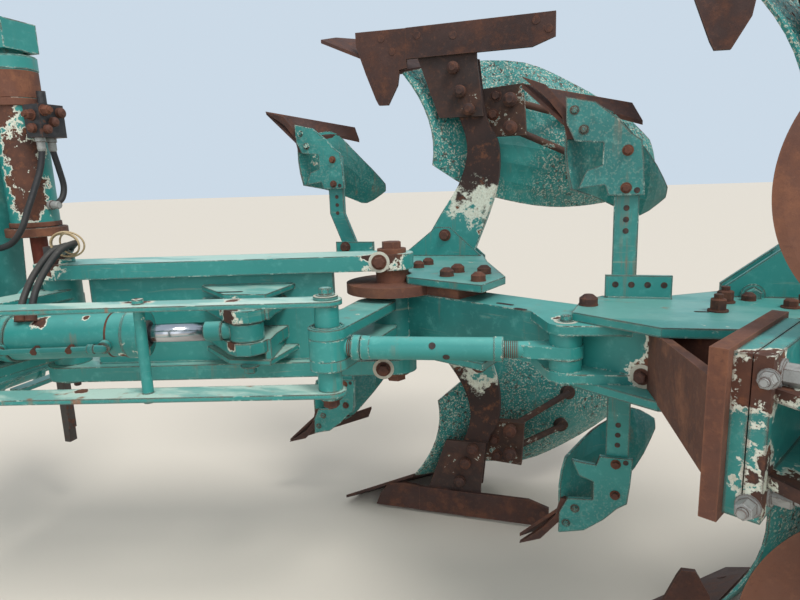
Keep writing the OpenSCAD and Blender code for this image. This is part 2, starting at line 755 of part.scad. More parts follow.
// Side plates with the hitch shaft's holes, and the floor between them, in front of the tower
hitch_d = 60;
module hitch_frame() {
    back = bearing_x + tower_t + seat;
    side = [[back, tower_foot], [500, -300], hitch_at + [-60, -55], hitch_at + [hitch_nose, -55],
        hitch_at + [hitch_nose, 50], [470, 40], [back, 60]];
    color(paint) in_place() difference() {
        union() {
            for (y = [side_y, side_t - side_y])
                upright(side, y, side_t);
            translate([back, -side_y, tower_foot]) cube([bearing_x + bearing_l - back, 2 * side_y, side_t]);
        }
        translate([hitch_at[0], 0, hitch_at[1]]) rotate([90, 0, 0])
            cylinder(d = hitch_d + 2 * slip, h = 400, center = true);
    }
}

module hitch_shaft() {
    color(paint) in_place() translate([hitch_at[0], 0, hitch_at[1]]) rotate([90, 0, 0]) {
        cylinder(d = hitch_d, h = link_pin_gap, center = true);
        cylinder(d = lower_pin_d, h = link_pin_gap + 2 * link_pin_l, center = true);
        for (z = [-1, 1])
            translate([0, 0, z * (link_pin_gap / 2 - 8)]) cylinder(d = 82, h = 16, center = true);
    }
}

// Stands, each row [y, travel from fully down]
stand_rows = [[355, 0], [-355, 295]];
stand_x = 470;
stand_l = 700;
sleeve_top = -200;
sleeve_h = 130;
module stand_sleeves() {
    wall = 9;
    w = stand_w + 2 * slip;
    color(paint) in_place() for (row = stand_rows) difference() {
        union() {
            translate([stand_x - w / 2 - wall, row[0] - w / 2 - wall, sleeve_top - sleeve_h])
                cube([w + 2 * wall, w + 2 * wall, sleeve_h]);
            for (z = [sleeve_top - 30, sleeve_top - sleeve_h + 6])
                translate([stand_x - 24, row[0] > 0 ? side_y + seat : row[0] + w / 2, z])
                    cube([48, abs(row[0]) - w / 2 - side_y - seat, 16]);
        }
        translate([stand_x - w / 2, row[0] - w / 2, -600]) cube([w, w, 800]);
    }
}

module stand(i) {
    row = stand_rows[i];
    color(black) in_place() translate([stand_x, row[0], row[1] - axis_h]) difference() {
        translate([-stand_w / 2, -stand_w / 2, 0]) cube([stand_w, stand_w, stand_l]);
        translate([-stand_w / 2 - 1, -stand_w / 2 - 1, -1]) cube([8, stand_w + 2, 56]);
        for (z = [200, 495])
            translate([0, 0, z]) rotate([90, 0, 0]) cylinder(d = 13, h = 100, center = true);
    }
}

/* Turning cylinder, from the crank up to its top pin */

turn_foot = [turn_x, -crank_r, 0];
turn_head = [turn_x, tower_y, turn_top];
turn_lean = atan2(turn_head[1] - turn_foot[1], turn_head[2]);
turn_l = norm(turn_head - turn_foot);
ring_at_l = 260;
ring_d = turn_d + 36;
eye_d = 86;
module on_turn() {
    in_place() translate(turn_foot) rotate([-turn_lean, 0, 0]) children();
}

module turn_barrel() {
    color(paint) on_turn() difference() {
        union() {
            translate([0, 0, ring_at_l]) cylinder(d = turn_d, h = turn_l - ring_at_l - 60);
            translate([0, 0, ring_at_l - 12]) cylinder(d = ring_d, h = 26);
            translate([0, 0, turn_l]) rotate([0, 90, 0]) cylinder(d = 84, h = 56, center = true);
            translate([-25, -30, turn_l - 80]) cube([50, 60, 60]);
        }
        translate([0, 0, ring_at_l - 100]) cylinder(d = turn_rod_d + 2 * slip, h = 300);
    }
    color(paint) on_turn() translate([-37, 0, turn_l]) rotate([0, 90, 0])
        cylinder(d = 34, h = bearing_x - turn_x + 37);
}

module turn_rod() {
    color(steel) on_turn() {
        translate([0, 0, 30]) cylinder(d = turn_rod_d, h = ring_at_l + 100 - 30);
        rotate([0, 90, 0]) cylinder(d = eye_d, h = 50, center = true);
        translate([crank_x + crank_t + seat - turn_x, 0, 0]) rotate([0, 90, 0]) cylinder(d = 50, h = 50);
    }
}

// Valve block behind the barrel
valve = [60, 90, 96];
valve_z = 545;
module valve_block() {
    color(black) on_turn() {
        translate([-turn_d / 2 - seat - valve[0], -valve[1] / 2, valve_z]) cube(valve);
        translate([-turn_d / 2 - seat - valve[0] / 2, 0, valve_z + valve[2]]) cylinder(d = 26, h = 40);
    }
}

// Hose from the valve block to the turning cylinder's lower port, in the cylinder's own axes
port_hose = [[-95, -18, valve_z - 2 * seat], [-95, -18, 525], [-95, -18, 505], [-95, -30, 450],
    [-93, -40, 400], [-92, -30, 365], [-90, -8, 347], [-84, 0, 343], [-turn_d / 2 - 1.6, 0, 343]];
// Hose from the valve block to the tower, from the axis
tower_hose = [[100, -72, valve_z - 3 * seat], [100, -72, 525], [100, -72, 505], [102, -58, 450],
    [106, -30, 390], [110, 0, 330], [118, 20, 280], [150, 30, 240], [200, 32, 222], [250, 32, 220],
    [bearing_x - 2 * seat, 32, 220]];
hose_d = 18;
module hoses() {
    color(black) {
        on_turn() hose(port_hose, hose_d);
        in_place() hose(tower_hose, hose_d);
    }
}

/* Depth wheel, behind the flanged console on the beam's left */

console_s = 312;
console_t = 26;
console_end_t = 372;
console_half = 133;
console_toe_half = 80;
module console() {
    half = beam_h / 2 - 1;
    near = beam_w / 2 + seat;
    foot = on_beam(95, near);
    foot_2 = on_beam(118, near);
    toe = on_beam(console_s, 322);
    toe_2 = on_beam(console_s, 352);
    rise = [[foot[0], foot[1], -half], [foot[0], foot[1], half], [toe_2[0], toe_2[1], console_toe_half],
        [toe_2[0], toe_2[1], -console_toe_half]];
    inner = [[foot_2[0], foot_2[1], -half], [foot_2[0], foot_2[1], half], [toe[0], toe[1], console_toe_half],
        [toe[0], toe[1], -console_toe_half]];
    color(rust) in_place() difference() {
        union() {
            level(box_plan(console_s, console_s + console_t, near, console_end_t), -console_half,
                2 * console_half);
            polyhedron(concat(rise, inner),
                [[0, 1, 2, 3], [7, 6, 5, 4], [1, 0, 4, 5], [2, 1, 5, 6], [3, 2, 6, 7], [0, 3, 7, 4]]);
            level([on_beam(100, near), on_beam(console_s, near), on_beam(console_s, 340)], -7, 14);
        }
        both() level(box_plan(60, 220, 60, 130), half, 100);
    }
}

arm_drop = axis_h - wheel_d / 2;
arm_l = 730;
arm_back = sqrt(arm_l * arm_l - arm_drop * arm_drop);
arm_t = 40;
arm_y = wheel_pivot[1] + 17;
pivot_x = wheel_pivot[0];
hub_x = pivot_x - arm_back;
pivot_d = 64;
module wheel_mount() {
    plate_s = console_s + console_t + seat;
    color(paint) in_place() {
        for (i = [0, 1])
            level(box_plan(plate_s + 26 * i, plate_s + 26 * i + 24 + i, 85, 350), -126, 252);
        level(box_plan(plate_s + 20, plate_s + 30, 100, 330), -100, 200);
        both() level([on_beam(plate_s + 50, 120), on_beam(plate_s + 50, 330), [pivot_x + 45, arm_y - 6],
            [pivot_x - 45, arm_y - 6], [pivot_x - 45, arm_y - 90], on_beam(560, 150)], 56, 20);
        translate([pivot_x, arm_y - 6, 0]) rotate([90, 0, 0]) cylinder(d = 128, h = 84);
        translate([pivot_x, arm_y - 6, 0]) rotate([-90, 0, 0]) cylinder(d = pivot_d, h = arm_t + 12 + 20);
        translate([pivot_x, arm_y + arm_t + 6, 0]) rotate([-90, 0, 0]) cylinder(d = 92, h = 12);
    }
}

module wheel_arm() {
    stub_l = wheel_y + 60 - arm_y - arm_t;
    color(paint) in_place() {
        difference() {
            hull() {
                translate([pivot_x, arm_y, 0]) rotate([-90, 0, 0]) cylinder(d = 130, h = arm_t, $fn = 32);
                translate([hub_x, arm_y, -arm_drop]) rotate([-90, 0, 0])
                    cylinder(d = 96, h = arm_t, $fn = 32);
            }
            translate([pivot_x, arm_y - 5, 0]) rotate([-90, 0, 0])
                cylinder(d = pivot_d + 2 * slip, h = arm_t + 10);
        }
        translate([hub_x, arm_y + arm_t - 1, -arm_drop]) rotate([-90, 0, 0]) cylinder(d = 50, h = stub_l);
    }
}

module on_wheel() {
    in_place() translate([hub_x, wheel_y, -arm_drop]) rotate([90, 0, 0]) children();
}

rim_r = 190;
module wheel_rim() {
    half = wheel_w / 2;
    color(paint) on_wheel() difference() {
        rotate_extrude() polygon([[25 + slip, -60], [60, -60], [60, -14], [rim_r - 8, -14],
            [rim_r - 8, 12 - half], [rim_r + 8, 12 - half], [rim_r + 8, 20 - half], [rim_r, 20 - half],
            [rim_r, half - 20], [rim_r + 8, half - 20], [rim_r + 8, half - 12], [rim_r - 8, half - 12],
            [rim_r - 8, -2], [60, -2], [60, 60], [25 + slip, 60]]);
        for (i = [0:4])
            rotate([0, 0, 72 * i]) translate([120, 0, -40]) cylinder(d = 44, h = 80);
    }
}

module wheel_tyre() {
    half = wheel_w / 2;
    r = wheel_d / 2;
    in = rim_r + seat;
    // Half of the tyre's section, from the bead out to the tread
    wall = [[in, 20.5 - half], [in + 9, 20.5 - half], [in + 20, 14 - half], [in + 30, 6 - half],
        [r - 60, -half], [r - 22, 8 - half], [r - 5, 26 - half], [r, 60 - half]];
    other = [for (i = [len(wall) - 1:-1:0]) [wall[i][0], -wall[i][1]]];
    color(black) on_wheel() rotate_extrude() polygon(concat(wall, other));
}

/* Disc coulters ahead of the last body */

coulter_at = [tip_x - 2 * body_step + 523, 2 * furrow_w - first_side_y + 36, 351];
coulter_t = 5;
coulter_hub_d = 34;
module coulter_arms() {
    x = coulter_at[0];
    z = coulter_at[2];
    inner_y = coulter_at[1] - 60;
    color(paint) in_place() both() {
        translate([x - 22, inner_y - 20, beam_h / 2 + seat]) cube([44, 22, z - beam_h / 2 + 22]);
        translate([x, inner_y, z]) rotate([-90, 0, 0]) cylinder(d = coulter_hub_d, h = 96);
        translate([x, inner_y + 60 + 28.5, z]) rotate([-90, 0, 0]) cylinder(d = 58, h = 8);
        level([[x - 60, inner_y - 170], [x + 60, inner_y - 170], [x + 40, inner_y + 2], [x - 40, inner_y + 2]],
            beam_h / 2 + seat, 18);
    }
}

module coulter(side) {
    r = coulter_d / 2;
    bore = coulter_hub_d / 2 + slip;
    half = coulter_t / 2;
    color(rust) in_place() translate([coulter_at[0], coulter_at[1], side * coulter_at[2]])
        rotate([90, 0, 0]) rotate_extrude($fn = 96) polygon([[bore, -28], [44, -28], [52, -half],
            [r - 14, -half], [r, -0.6], [r, 0.6], [r - 14, half], [52, half], [44, 28], [bore, 28]]);
}

headstock();
hitch_frame();
stand_sleeves();
hitch_shaft();
turn_barrel();
turn_rod();
valve_block();
hoses();
stand(0);  // stand_left
stand(1);  // stand_right
turnover_shaft();
carrier();
fork();
link_bars();
shift_barrel();
shift_rod();
beam();
hinge_plates();
hinge_pin();
lever();
turnbuckle();
bracket(1);  // bracket_1
at_body(1) leg();  // leg_1
at_body(1) frog();  // frog_1
at_body(1) boards();  // boards_1
at_body(1) shares(fin_worn);  // shares_1
at_body(1) landsides();  // landsides_1
at_body(1) stays();  // stays_1
at_body(1) stalks(1);  // stalks_1
at_body(1) skimmers(1);  // skimmers_1
bracket(2);  // bracket_2
at_body(2) leg();  // leg_2
at_body(2) frog();  // frog_2
at_body(2) boards();  // boards_2
at_body(2) shares(fin_full);  // shares_2
at_body(2) landsides();  // landsides_2
at_body(2) stays();  // stays_2
at_body(2) stalks(2);  // stalks_2
at_body(2) skimmers(2);  // skimmers_2
bracket(3);  // bracket_3
at_body(3) leg();  // leg_3
at_body(3) frog();  // frog_3
at_body(3) boards();  // boards_3
at_body(3) shares(fin_full);  // shares_3
at_body(3) landsides();  // landsides_3
at_body(3) stays();  // stays_3
at_body(3) stalks(3);  // stalks_3
at_body(3) skimmers(3);  // skimmers_3
console();
wheel_mount();
wheel_arm();
wheel_rim();
wheel_tyre();
coulter_arms();
coulter(1);  // coulter_upper
coulter(-1);  // coulter_lower
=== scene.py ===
import bpy
import bmesh
import json
import math
from mathutils import Vector, Matrix
from mathutils.bvhtree import BVHTree


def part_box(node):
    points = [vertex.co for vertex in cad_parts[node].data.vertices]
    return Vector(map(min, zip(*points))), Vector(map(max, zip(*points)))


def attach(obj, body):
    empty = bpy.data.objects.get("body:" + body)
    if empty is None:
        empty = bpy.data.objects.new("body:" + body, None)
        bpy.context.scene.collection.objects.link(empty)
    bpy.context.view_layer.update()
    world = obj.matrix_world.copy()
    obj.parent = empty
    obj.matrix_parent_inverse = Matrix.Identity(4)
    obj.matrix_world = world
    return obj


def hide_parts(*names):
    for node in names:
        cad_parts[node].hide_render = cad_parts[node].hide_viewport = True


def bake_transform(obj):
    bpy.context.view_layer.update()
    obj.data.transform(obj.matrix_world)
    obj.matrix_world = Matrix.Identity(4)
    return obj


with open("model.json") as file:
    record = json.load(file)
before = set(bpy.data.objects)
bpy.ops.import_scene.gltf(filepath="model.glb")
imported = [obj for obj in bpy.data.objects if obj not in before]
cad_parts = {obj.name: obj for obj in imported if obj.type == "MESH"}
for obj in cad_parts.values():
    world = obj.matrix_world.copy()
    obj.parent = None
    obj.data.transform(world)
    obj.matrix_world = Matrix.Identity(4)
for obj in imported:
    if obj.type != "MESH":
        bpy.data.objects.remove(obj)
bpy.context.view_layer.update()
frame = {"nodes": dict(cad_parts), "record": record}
nodes = frame["nodes"]
bodyOf = {node: body for body, members in frame["record"]["behaviour"]["bodies"].items() for node in members}
print("frame loaded:", len(nodes), "CAD nodes")

# Places below are in the plan of part.scad: millimetres from this point on the turnover axis
axisRise = 889
axisPoint = Vector((1.471979, 0.176675, axisRise / 1000))


def plan(x, y, z):
    return axisPoint + Vector((x, y, z)) / 1000


def toPlan(point):
    return (point - axisPoint) * 1000


class Bench:  # a node tree with short ways to add and join nodes
    def __init__(self, tree):
        self.tree = tree

    def join(self, a, b):
        self.tree.links.new(a, b)

    def node(self, kind, values=None, **settings):  # inputs by name or number, each a socket or a value
        node = self.tree.nodes.new(kind)
        for key, value in settings.items():
            setattr(node, key, value)
        for key, value in (values or {}).items():
            socket = node.inputs[key]
            if isinstance(value, bpy.types.NodeSocket):
                self.join(value, socket)
            else:
                socket.default_value = (*value, 1) if socket.type == "RGBA" else value
        return node

    def add(self, kind, values=None, **settings):
        return self.node(kind, values, **settings).outputs[0]

    def maths(self, operation, a, b=0.0):
        return self.add("ShaderNodeMath", {0: a, 1: b}, operation=operation)

    def plus(self, a, b):
        return self.maths("ADD", a, b)

    def minus(self, a, b):
        return self.maths("SUBTRACT", a, b)

    def times(self, a, b):
        return self.maths("MULTIPLY", a, b)

    def most(self, a, b):
        return self.maths("MAXIMUM", a, b)

    def sway(self, value, amount):  # a noise of 0 to 1 as a swing about zero
        return self.times(self.minus(value, 0.5), amount)


def addObject(name, data):
    obj = bpy.data.objects.new(name, data)
    bpy.context.scene.collection.objects.link(obj)
    return obj


# camera, floor and light
view = {
    "place": (-0.028, 1.572, 1.270),
    "turn": 18.0,       # plan angle from straight across the furrow, degrees
    "pitch": 11.2,
    "roll": 2.0,
    "focalPixels": 604.0,
    "imageWidth": 800,
}


def makeCamera():
    turn, pitch, roll = (math.radians(view[k]) for k in ("turn", "pitch", "roll"))
    ahead = Vector((math.sin(turn), -math.cos(turn), 0))
    right = ahead.cross(Vector((0, 0, 1)))
    look = ahead * math.cos(pitch) - Vector((0, 0, 1)) * math.sin(pitch)
    top = right.cross(look)
    rolledRight = right * math.cos(roll) - top * math.sin(roll)
    rolledTop = top * math.cos(roll) + right * math.sin(roll)
    data = bpy.data.cameras.new("camera")
    data.sensor_width = 36
    data.lens = view["focalPixels"] * data.sensor_width / view["imageWidth"]
    data.clip_start = 0.05
    camera = addObject("camera", data)
    basis = Matrix((rolledRight, rolledTop, -look)).transposed().to_4x4()
    basis.translation = Vector(view["place"])
    camera.matrix_world = basis
    bpy.context.scene.camera = camera


studio = {
    "floorColour": (0.62, 0.57, 0.50),
    "floorHalf": 60,
    "skyColour": (0.60, 0.70, 0.80),     # what the camera sees past the floor
    "skyLightColour": (0.93, 0.97, 1.0),
    "skyLight": 0.8,
    "sunPower": 2.0,
    "sunColour": (1.0, 0.98, 0.94),
    "sunSoftness": 22.0,
    "sunFrom": (-0.72, 0.5, 1.2),
    "fillPower": 45.0,
    "fillSize": 4,
    "fillPlace": (-0.8, 4.2, 2.4),
    "fillAim": (0, 0, 0.8),
}


def makeSky():
    world = bpy.data.worlds.new("studio")
    bpy.context.scene.world = world
    world.use_nodes = True
    world.node_tree.nodes.clear()
    b = Bench(world.node_tree)
    path = b.node("ShaderNodeLightPath").outputs
    seen = b.add("ShaderNodeBackground", {"Color": studio["skyColour"]})
    light = b.add("ShaderNodeBackground", {"Color": studio["skyLightColour"], "Strength": studio["skyLight"]})
    either = b.most(path["Is Camera Ray"], path["Is Glossy Ray"])
    b.node("ShaderNodeOutputWorld", {"Surface": b.add("ShaderNodeMixShader", {0: either, 1: light, 2: seen})})


def makeLamp(name, kind, power, facing, place=(0, 0, 0)):  # a lamp that shines against facing
    lamp = bpy.data.lights.new(name, kind)
    lamp.energy = power
    holder = addObject(name, lamp)
    holder.location = place
    holder.rotation_euler = Vector(facing).to_track_quat("Z", "Y").to_euler()
    return lamp


def makeStudio():
    bpy.context.scene.view_settings.view_transform = "Standard"
    makeSky()
    sun = makeLamp("sun", "SUN", studio["sunPower"], studio["sunFrom"])
    sun.angle = math.radians(studio["sunSoftness"])
    sun.color = studio["sunColour"]
    fillPlace = Vector(studio["fillPlace"])
    fill = makeLamp("fill", "AREA", studio["fillPower"], fillPlace - Vector(studio["fillAim"]), fillPlace)
    fill.size = studio["fillSize"]

    mesh = bpy.data.meshes.new("floor")
    s = studio["floorHalf"]
    mesh.from_pydata([(-s, -s, 0), (s, -s, 0), (s, s, 0), (-s, s, 0)], [], [(0, 1, 2, 3)])
    mat = bpy.data.materials.new("floor")
    mat.use_nodes = True
    shader = mat.node_tree.nodes["Principled BSDF"]
    shader.inputs["Base Color"].default_value = (*studio["floorColour"], 1)
    shader.inputs["Roughness"].default_value = 0.95
    mesh.materials.append(mat)
    addObject("floor", mesh)


makeCamera()
makeStudio()
print("camera, floor and lights ready")


class MaterialBench(Bench):
    def __init__(self, name):
        self.mat = bpy.data.materials.new(name)
        self.mat.use_nodes = True
        super().__init__(self.mat.node_tree)
        self.tree.nodes.clear()
        self.coords = self.node("ShaderNodeTexCoord").outputs

    def noise(self, scale, detail=4.0, rough=0.55, stretch=None, offset=None, distortion=0.0):
        vector = self.coords["Object"]
        if stretch or offset:
            moved = {"Vector": vector, "Scale": stretch or (1, 1, 1), "Location": offset or (0, 0, 0)}
            vector = self.add("ShaderNodeMapping", moved)
        values = {"Vector": vector, "Scale": scale, "Detail": detail, "Roughness": rough, "Distortion": distortion}
        return self.node("ShaderNodeTexNoise", values).outputs["Fac"]

    def ramp(self, value, low, high, toLow=0.0, toHigh=1.0):
        values = {"Value": value, "From Min": low, "From Max": high, "To Min": toLow, "To Max": toHigh}
        return self.add("ShaderNodeMapRange", values, interpolation_type="SMOOTHSTEP")

    def blend(self, amount, a, b):
        return self.node("ShaderNodeMix", {0: amount, 6: a, 7: b}, data_type="RGBA").outputs[2]

    def vectors(self, operation, a, b):
        return self.node("ShaderNodeVectorMath", {0: a, 1: b}, operation=operation).outputs["Value"]

    def edgeWear(self, radius):
        bevel = self.add("ShaderNodeBevel", {"Radius": radius}, samples=4)
        plain = self.node("ShaderNodeNewGeometry").outputs["Normal"]
        return self.minus(1.0, self.vectors("DOT_PRODUCT", bevel, plain))

    def rise(self, source="Object"):  # the height, or how far a face looks up
        return self.node("ShaderNodeSeparateXYZ", {0: self.coords[source]}).outputs["Z"]

    def done(self, colour, roughness, height=None, strength=0.0, depth=0.0, metallic=0.0):
        values = {"Base Color": colour, "Roughness": roughness, "Metallic": metallic}
        if height is not None:
            bump = {"Strength": strength, "Distance": depth, "Height": height}
            values["Normal"] = self.add("ShaderNodeBump", bump)
        self.node("ShaderNodeOutputMaterial", {"Surface": self.add("ShaderNodeBsdfPrincipled", values)})
        return self.mat


def srgb(r, g, b):
    return tuple((c / 255 / 12.92) if c <= 10 else ((c / 255 + 0.055) / 1.055) ** 2.4 for c in (r, g, b))


finish = {
    "turquoise": srgb(44, 135, 130),
    "turquoiseDeep": srgb(20, 92, 90),
    # the faded tone serves faded flecks, and painted highlight on upward faces
    "turquoiseFadedAndLit": srgb(112, 186, 178),
    "turquoisePale": srgb(184, 210, 198),
    "primer": srgb(212, 216, 202),
    "rust": srgb(96, 58, 42),
    "rustDark": srgb(56, 36, 31),
    "rustBlack": srgb(42, 29, 27),
    "rustBright": srgb(146, 88, 54),
    "dust": srgb(168, 160, 138),
}


def paintTone(b, cloud, patch, grit, fadeAndTopLight, deep, pale):  # the paint's colour before any chip
    # patches of the deeper tone; a large deep share also stands for painted shade on faces that lie in shade
    colour = b.blend(b.ramp(cloud, 0.35, 0.68, 0, deep), finish["turquoise"], finish["turquoiseDeep"])
    # upward faces turn towards the faded tone: sun-faded paint, and painted highlight where the tops catch the sky
    topward = b.rise("Normal")
    fadedAndLitTops = b.times(b.ramp(topward, 0.45, 1.0, 0, fadeAndTopLight), b.ramp(patch, 0.25, 0.7, 0.5, 1))
    colour = b.blend(fadedAndLitTops, colour, finish["turquoiseFadedAndLit"])
    colour = b.blend(b.ramp(grit, 0.5, 0.78, 0, 0.35), colour, finish["turquoiseFadedAndLit"])
    scuff = b.noise(1, 7, 0.7, stretch=(5, 5, 60), offset=(1, 6, 2), distortion=0.6)
    colour = b.blend(b.ramp(scuff, 0.60, 0.72, 0, 0.35), colour, finish["dust"])
    if pale:  # upper faces paler in patches: rubbed paint, and painted highlight on the tops
        paleTopPatches = b.noise(1, 6, 0.65, stretch=(3, 9, 9), offset=(4, 4, 4))
        rubbedAndLitTops = b.times(b.ramp(topward, 0.85, 0.98), b.ramp(paleTopPatches, 0.40, 0.54, 0.25 * pale, pale))
        colour = b.blend(rubbedAndLitTops, colour, finish["turquoisePale"])
    return colour


def chipMasks(b, cloud, patch, grit, speck, chips, edges, spots, flecks, bareAbove, bareFront):
    def lay(masks, primer, rust):  # adds a place to what is already worn
        return masks[0] if primer is None else b.most(masks[0], primer), b.most(masks[1], rust)

    worn = b.plus(b.ramp(b.edgeWear(0.009), 0.0, 0.22, 0, 0.24 * edges), b.sway(patch, 0.85))
    worn = b.plus(worn, b.sway(grit, 0.95))
    level = 0.34 - 0.20 * chips
    masks = b.ramp(worn, level, level + 0.02), b.ramp(worn, level + 0.05, level + 0.08)
    ragged = b.plus(b.sway(grit, 2.6), b.sway(patch, 1.6))
    for place, reach, *rough in spots:  # places the photograph shows chipped to rust with a pale rim
        away = b.vectors("DISTANCE", b.coords["Object"], tuple(plan(*place)))
        share = rough[0] if rough else 1.0
        near = b.minus(b.plus(1.0, b.times(ragged, share)), b.maths("DIVIDE", away, reach / 1000))
        rim = 0.22 * min(1.0, share * 1.3)
        masks = lay(masks, b.ramp(near, 0.0, 0.25 * rim), b.ramp(near, rim, 1.3 * rim))
    if flecks:
        pale = b.times(b.ramp(speck, 0.54, 0.60), b.ramp(cloud, 0.36, 0.52, 0, flecks))
        grain = b.noise(64, 6, 0.7, offset=(9, 4, 2))
        masks = lay(masks, pale, b.times(b.ramp(grain, 0.55, 0.60), b.ramp(cloud, 0.40, 0.58, 0, flecks)))
    if bareAbove:  # paint gives way to bare steel away from the beam's height
        away = b.maths("ABSOLUTE", b.minus(b.rise(), axisRise / 1000))
        away = b.plus(b.plus(away, b.sway(patch, 0.42)), b.sway(grit, 0.22))
        pale, bare = bareAbove
        masks = lay(masks, b.ramp(away, pale, pale + 0.02), b.ramp(away, bare, bare + 0.03))
    if bareFront:  # the working face is scoured to bare steel
        facing = b.vectors("DOT_PRODUCT", b.coords["Normal"], (0.5, -0.85, 0))
        masks = lay(masks, None, b.ramp(facing, 0.05, 0.15))
    return masks


def paintedSteel(name, chips, edges=1.3, fadeAndTopLight=0.5, stains=0.4, deep=0.35, pale=0.0, flecks=0.0,
                 spots=(), bareAbove=None, bareTone=("rustDark", "rust"), bareFront=False):
    b = MaterialBench(name)
    cloud = b.noise(2.6, 5)
    patch = b.noise(7.5, 8, 0.62)
    grit = b.noise(36, 8, 0.66, offset=(3, 1, 7))
    speck = b.noise(150, 4, 0.6, offset=(5, 2, 1))
    colour = paintTone(b, cloud, patch, grit, fadeAndTopLight, deep, pale)
    primerMask, rustMask = chipMasks(b, cloud, patch, grit, speck, chips, edges, spots, flecks, bareAbove, bareFront)

    rusty = b.blend(b.ramp(patch, 0.35, 0.7), *(finish[tone] for tone in bareTone))
    rusty = b.blend(b.ramp(grit, 0.52, 0.75, 0, 0.55), rusty, finish["rustBright"])
    primer = b.blend(b.ramp(speck, 0.4, 0.7, 0, 0.5), finish["primer"], finish["dust"])
    streak = b.noise(1, 6, 0.6, stretch=(34, 34, 2.4))
    washed = b.noise(5, 3, offset=(2, 8, 5))
    stain = b.times(b.ramp(streak, 0.54, 0.72, 0, stains), b.ramp(washed, 0.48, 0.62))
    colour = b.blend(stain, colour, finish["rustBright"])
    colour = b.blend(primerMask, colour, primer)
    colour = b.blend(rustMask, colour, rusty)
    roughness = b.plus(b.ramp(cloud, 0.3, 0.7, 0.38, 0.5), b.times(b.most(primerMask, rustMask), 0.36))
    pitted = b.times(rustMask, b.ramp(grit, 0.3, 0.7, 0.2, 0.9))
    height = b.minus(b.times(speck, 0.12), b.plus(b.times(primerMask, 0.5), pitted))
    return b.done(colour, roughness, height, 0.5, 0.0012)


def rustySteel(name, base, light, dark, paintLeft=0.0, roughness=0.82):
    b = MaterialBench(name)
    cloud = b.noise(3.2, 6)
    patch = b.noise(13, 8, 0.65, offset=(1, 5, 2))
    grit = b.noise(60, 8, 0.7, offset=(7, 2, 3))
    pit = b.noise(170, 4, 0.6)
    edge = b.ramp(b.edgeWear(0.005), 0.03, 0.28)
    colour = b.blend(b.ramp(cloud, 0.34, 0.66), base, dark)
    colour = b.blend(b.ramp(patch, 0.48, 0.72, 0, 0.6), colour, light)
    colour = b.blend(b.ramp(grit, 0.5, 0.72, 0, 0.4), colour, light)
    colour = b.blend(b.ramp(pit, 0.56, 0.7, 0, 0.5), colour, dark)
    colour = b.blend(b.times(edge, 0.45), colour, light)
    if paintLeft:  # islands of paint with a pale rim
        island = b.plus(patch, b.times(grit, 0.5))
        level = 0.96 - 0.16 * paintLeft
        colour = b.blend(b.ramp(island, level, level + 0.02), colour, finish["primer"])
        colour = b.blend(b.ramp(island, level + 0.02, level + 0.04), colour, finish["turquoiseDeep"])
    height = b.plus(b.times(grit, 0.6), b.times(pit, 0.4))
    return b.done(colour, b.ramp(patch, 0.3, 0.7, roughness - 0.12, roughness + 0.08), height, 0.55, 0.0016)


def chromeRod(name):
    b = MaterialBench(name)
    tone = b.noise(7, 4)
    fine = b.noise(160, 3)
    spots = b.ramp(b.noise(55, 6, 0.7, offset=(4, 4, 1)), 0.66, 0.72)
    colour = b.blend(b.ramp(tone, 0.3, 0.7), srgb(196, 198, 202), srgb(168, 170, 175))
    colour = b.blend(spots, colour, finish["rust"])
    return b.done(colour, b.plus(b.ramp(fine, 0.3, 0.7, 0.14, 0.24), b.times(spots, 0.4)), metallic=1.0)


def darkRubber(name, base, dusty):
    b = MaterialBench(name)
    cloud = b.noise(6, 5)
    fine = b.noise(120, 5, 0.65)
    dust = b.times(b.ramp(cloud, 0.38, 0.66, 0, dusty), b.ramp(b.rise("Normal"), -0.2, 0.9, 0.2, 1))
    colour = b.blend(dust, base, finish["dust"])
    colour = b.blend(b.ramp(fine, 0.5, 0.75, 0, 0.25), colour, srgb(70, 68, 64))
    return b.done(colour, b.plus(b.ramp(fine, 0.3, 0.7, 0.5, 0.7), b.times(dust, 0.25)), fine, 0.25, 0.0006)


def darkMetal(name, base, rustShare):
    b = MaterialBench(name)
    patch = b.noise(18, 7, 0.65)
    grit = b.noise(75, 6, 0.65, offset=(2, 3, 8))
    edge = b.ramp(b.edgeWear(0.004), 0.03, 0.28)
    colour = b.blend(b.ramp(grit, 0.4, 0.7, 0, 0.4), base, srgb(74, 72, 70))
    worn = b.plus(b.plus(b.times(edge, 0.25), b.times(patch, 0.7)), b.times(grit, 0.35))
    level = 0.68 - 0.2 * rustShare
    rustMask = b.ramp(worn, level, level + 0.06)
    rusty = b.blend(b.ramp(grit, 0.35, 0.7), finish["rustDark"], finish["rust"])
    return b.done(b.blend(rustMask, colour, rusty), b.plus(0.45, b.times(rustMask, 0.38)), grit, 0.35, 0.0008)


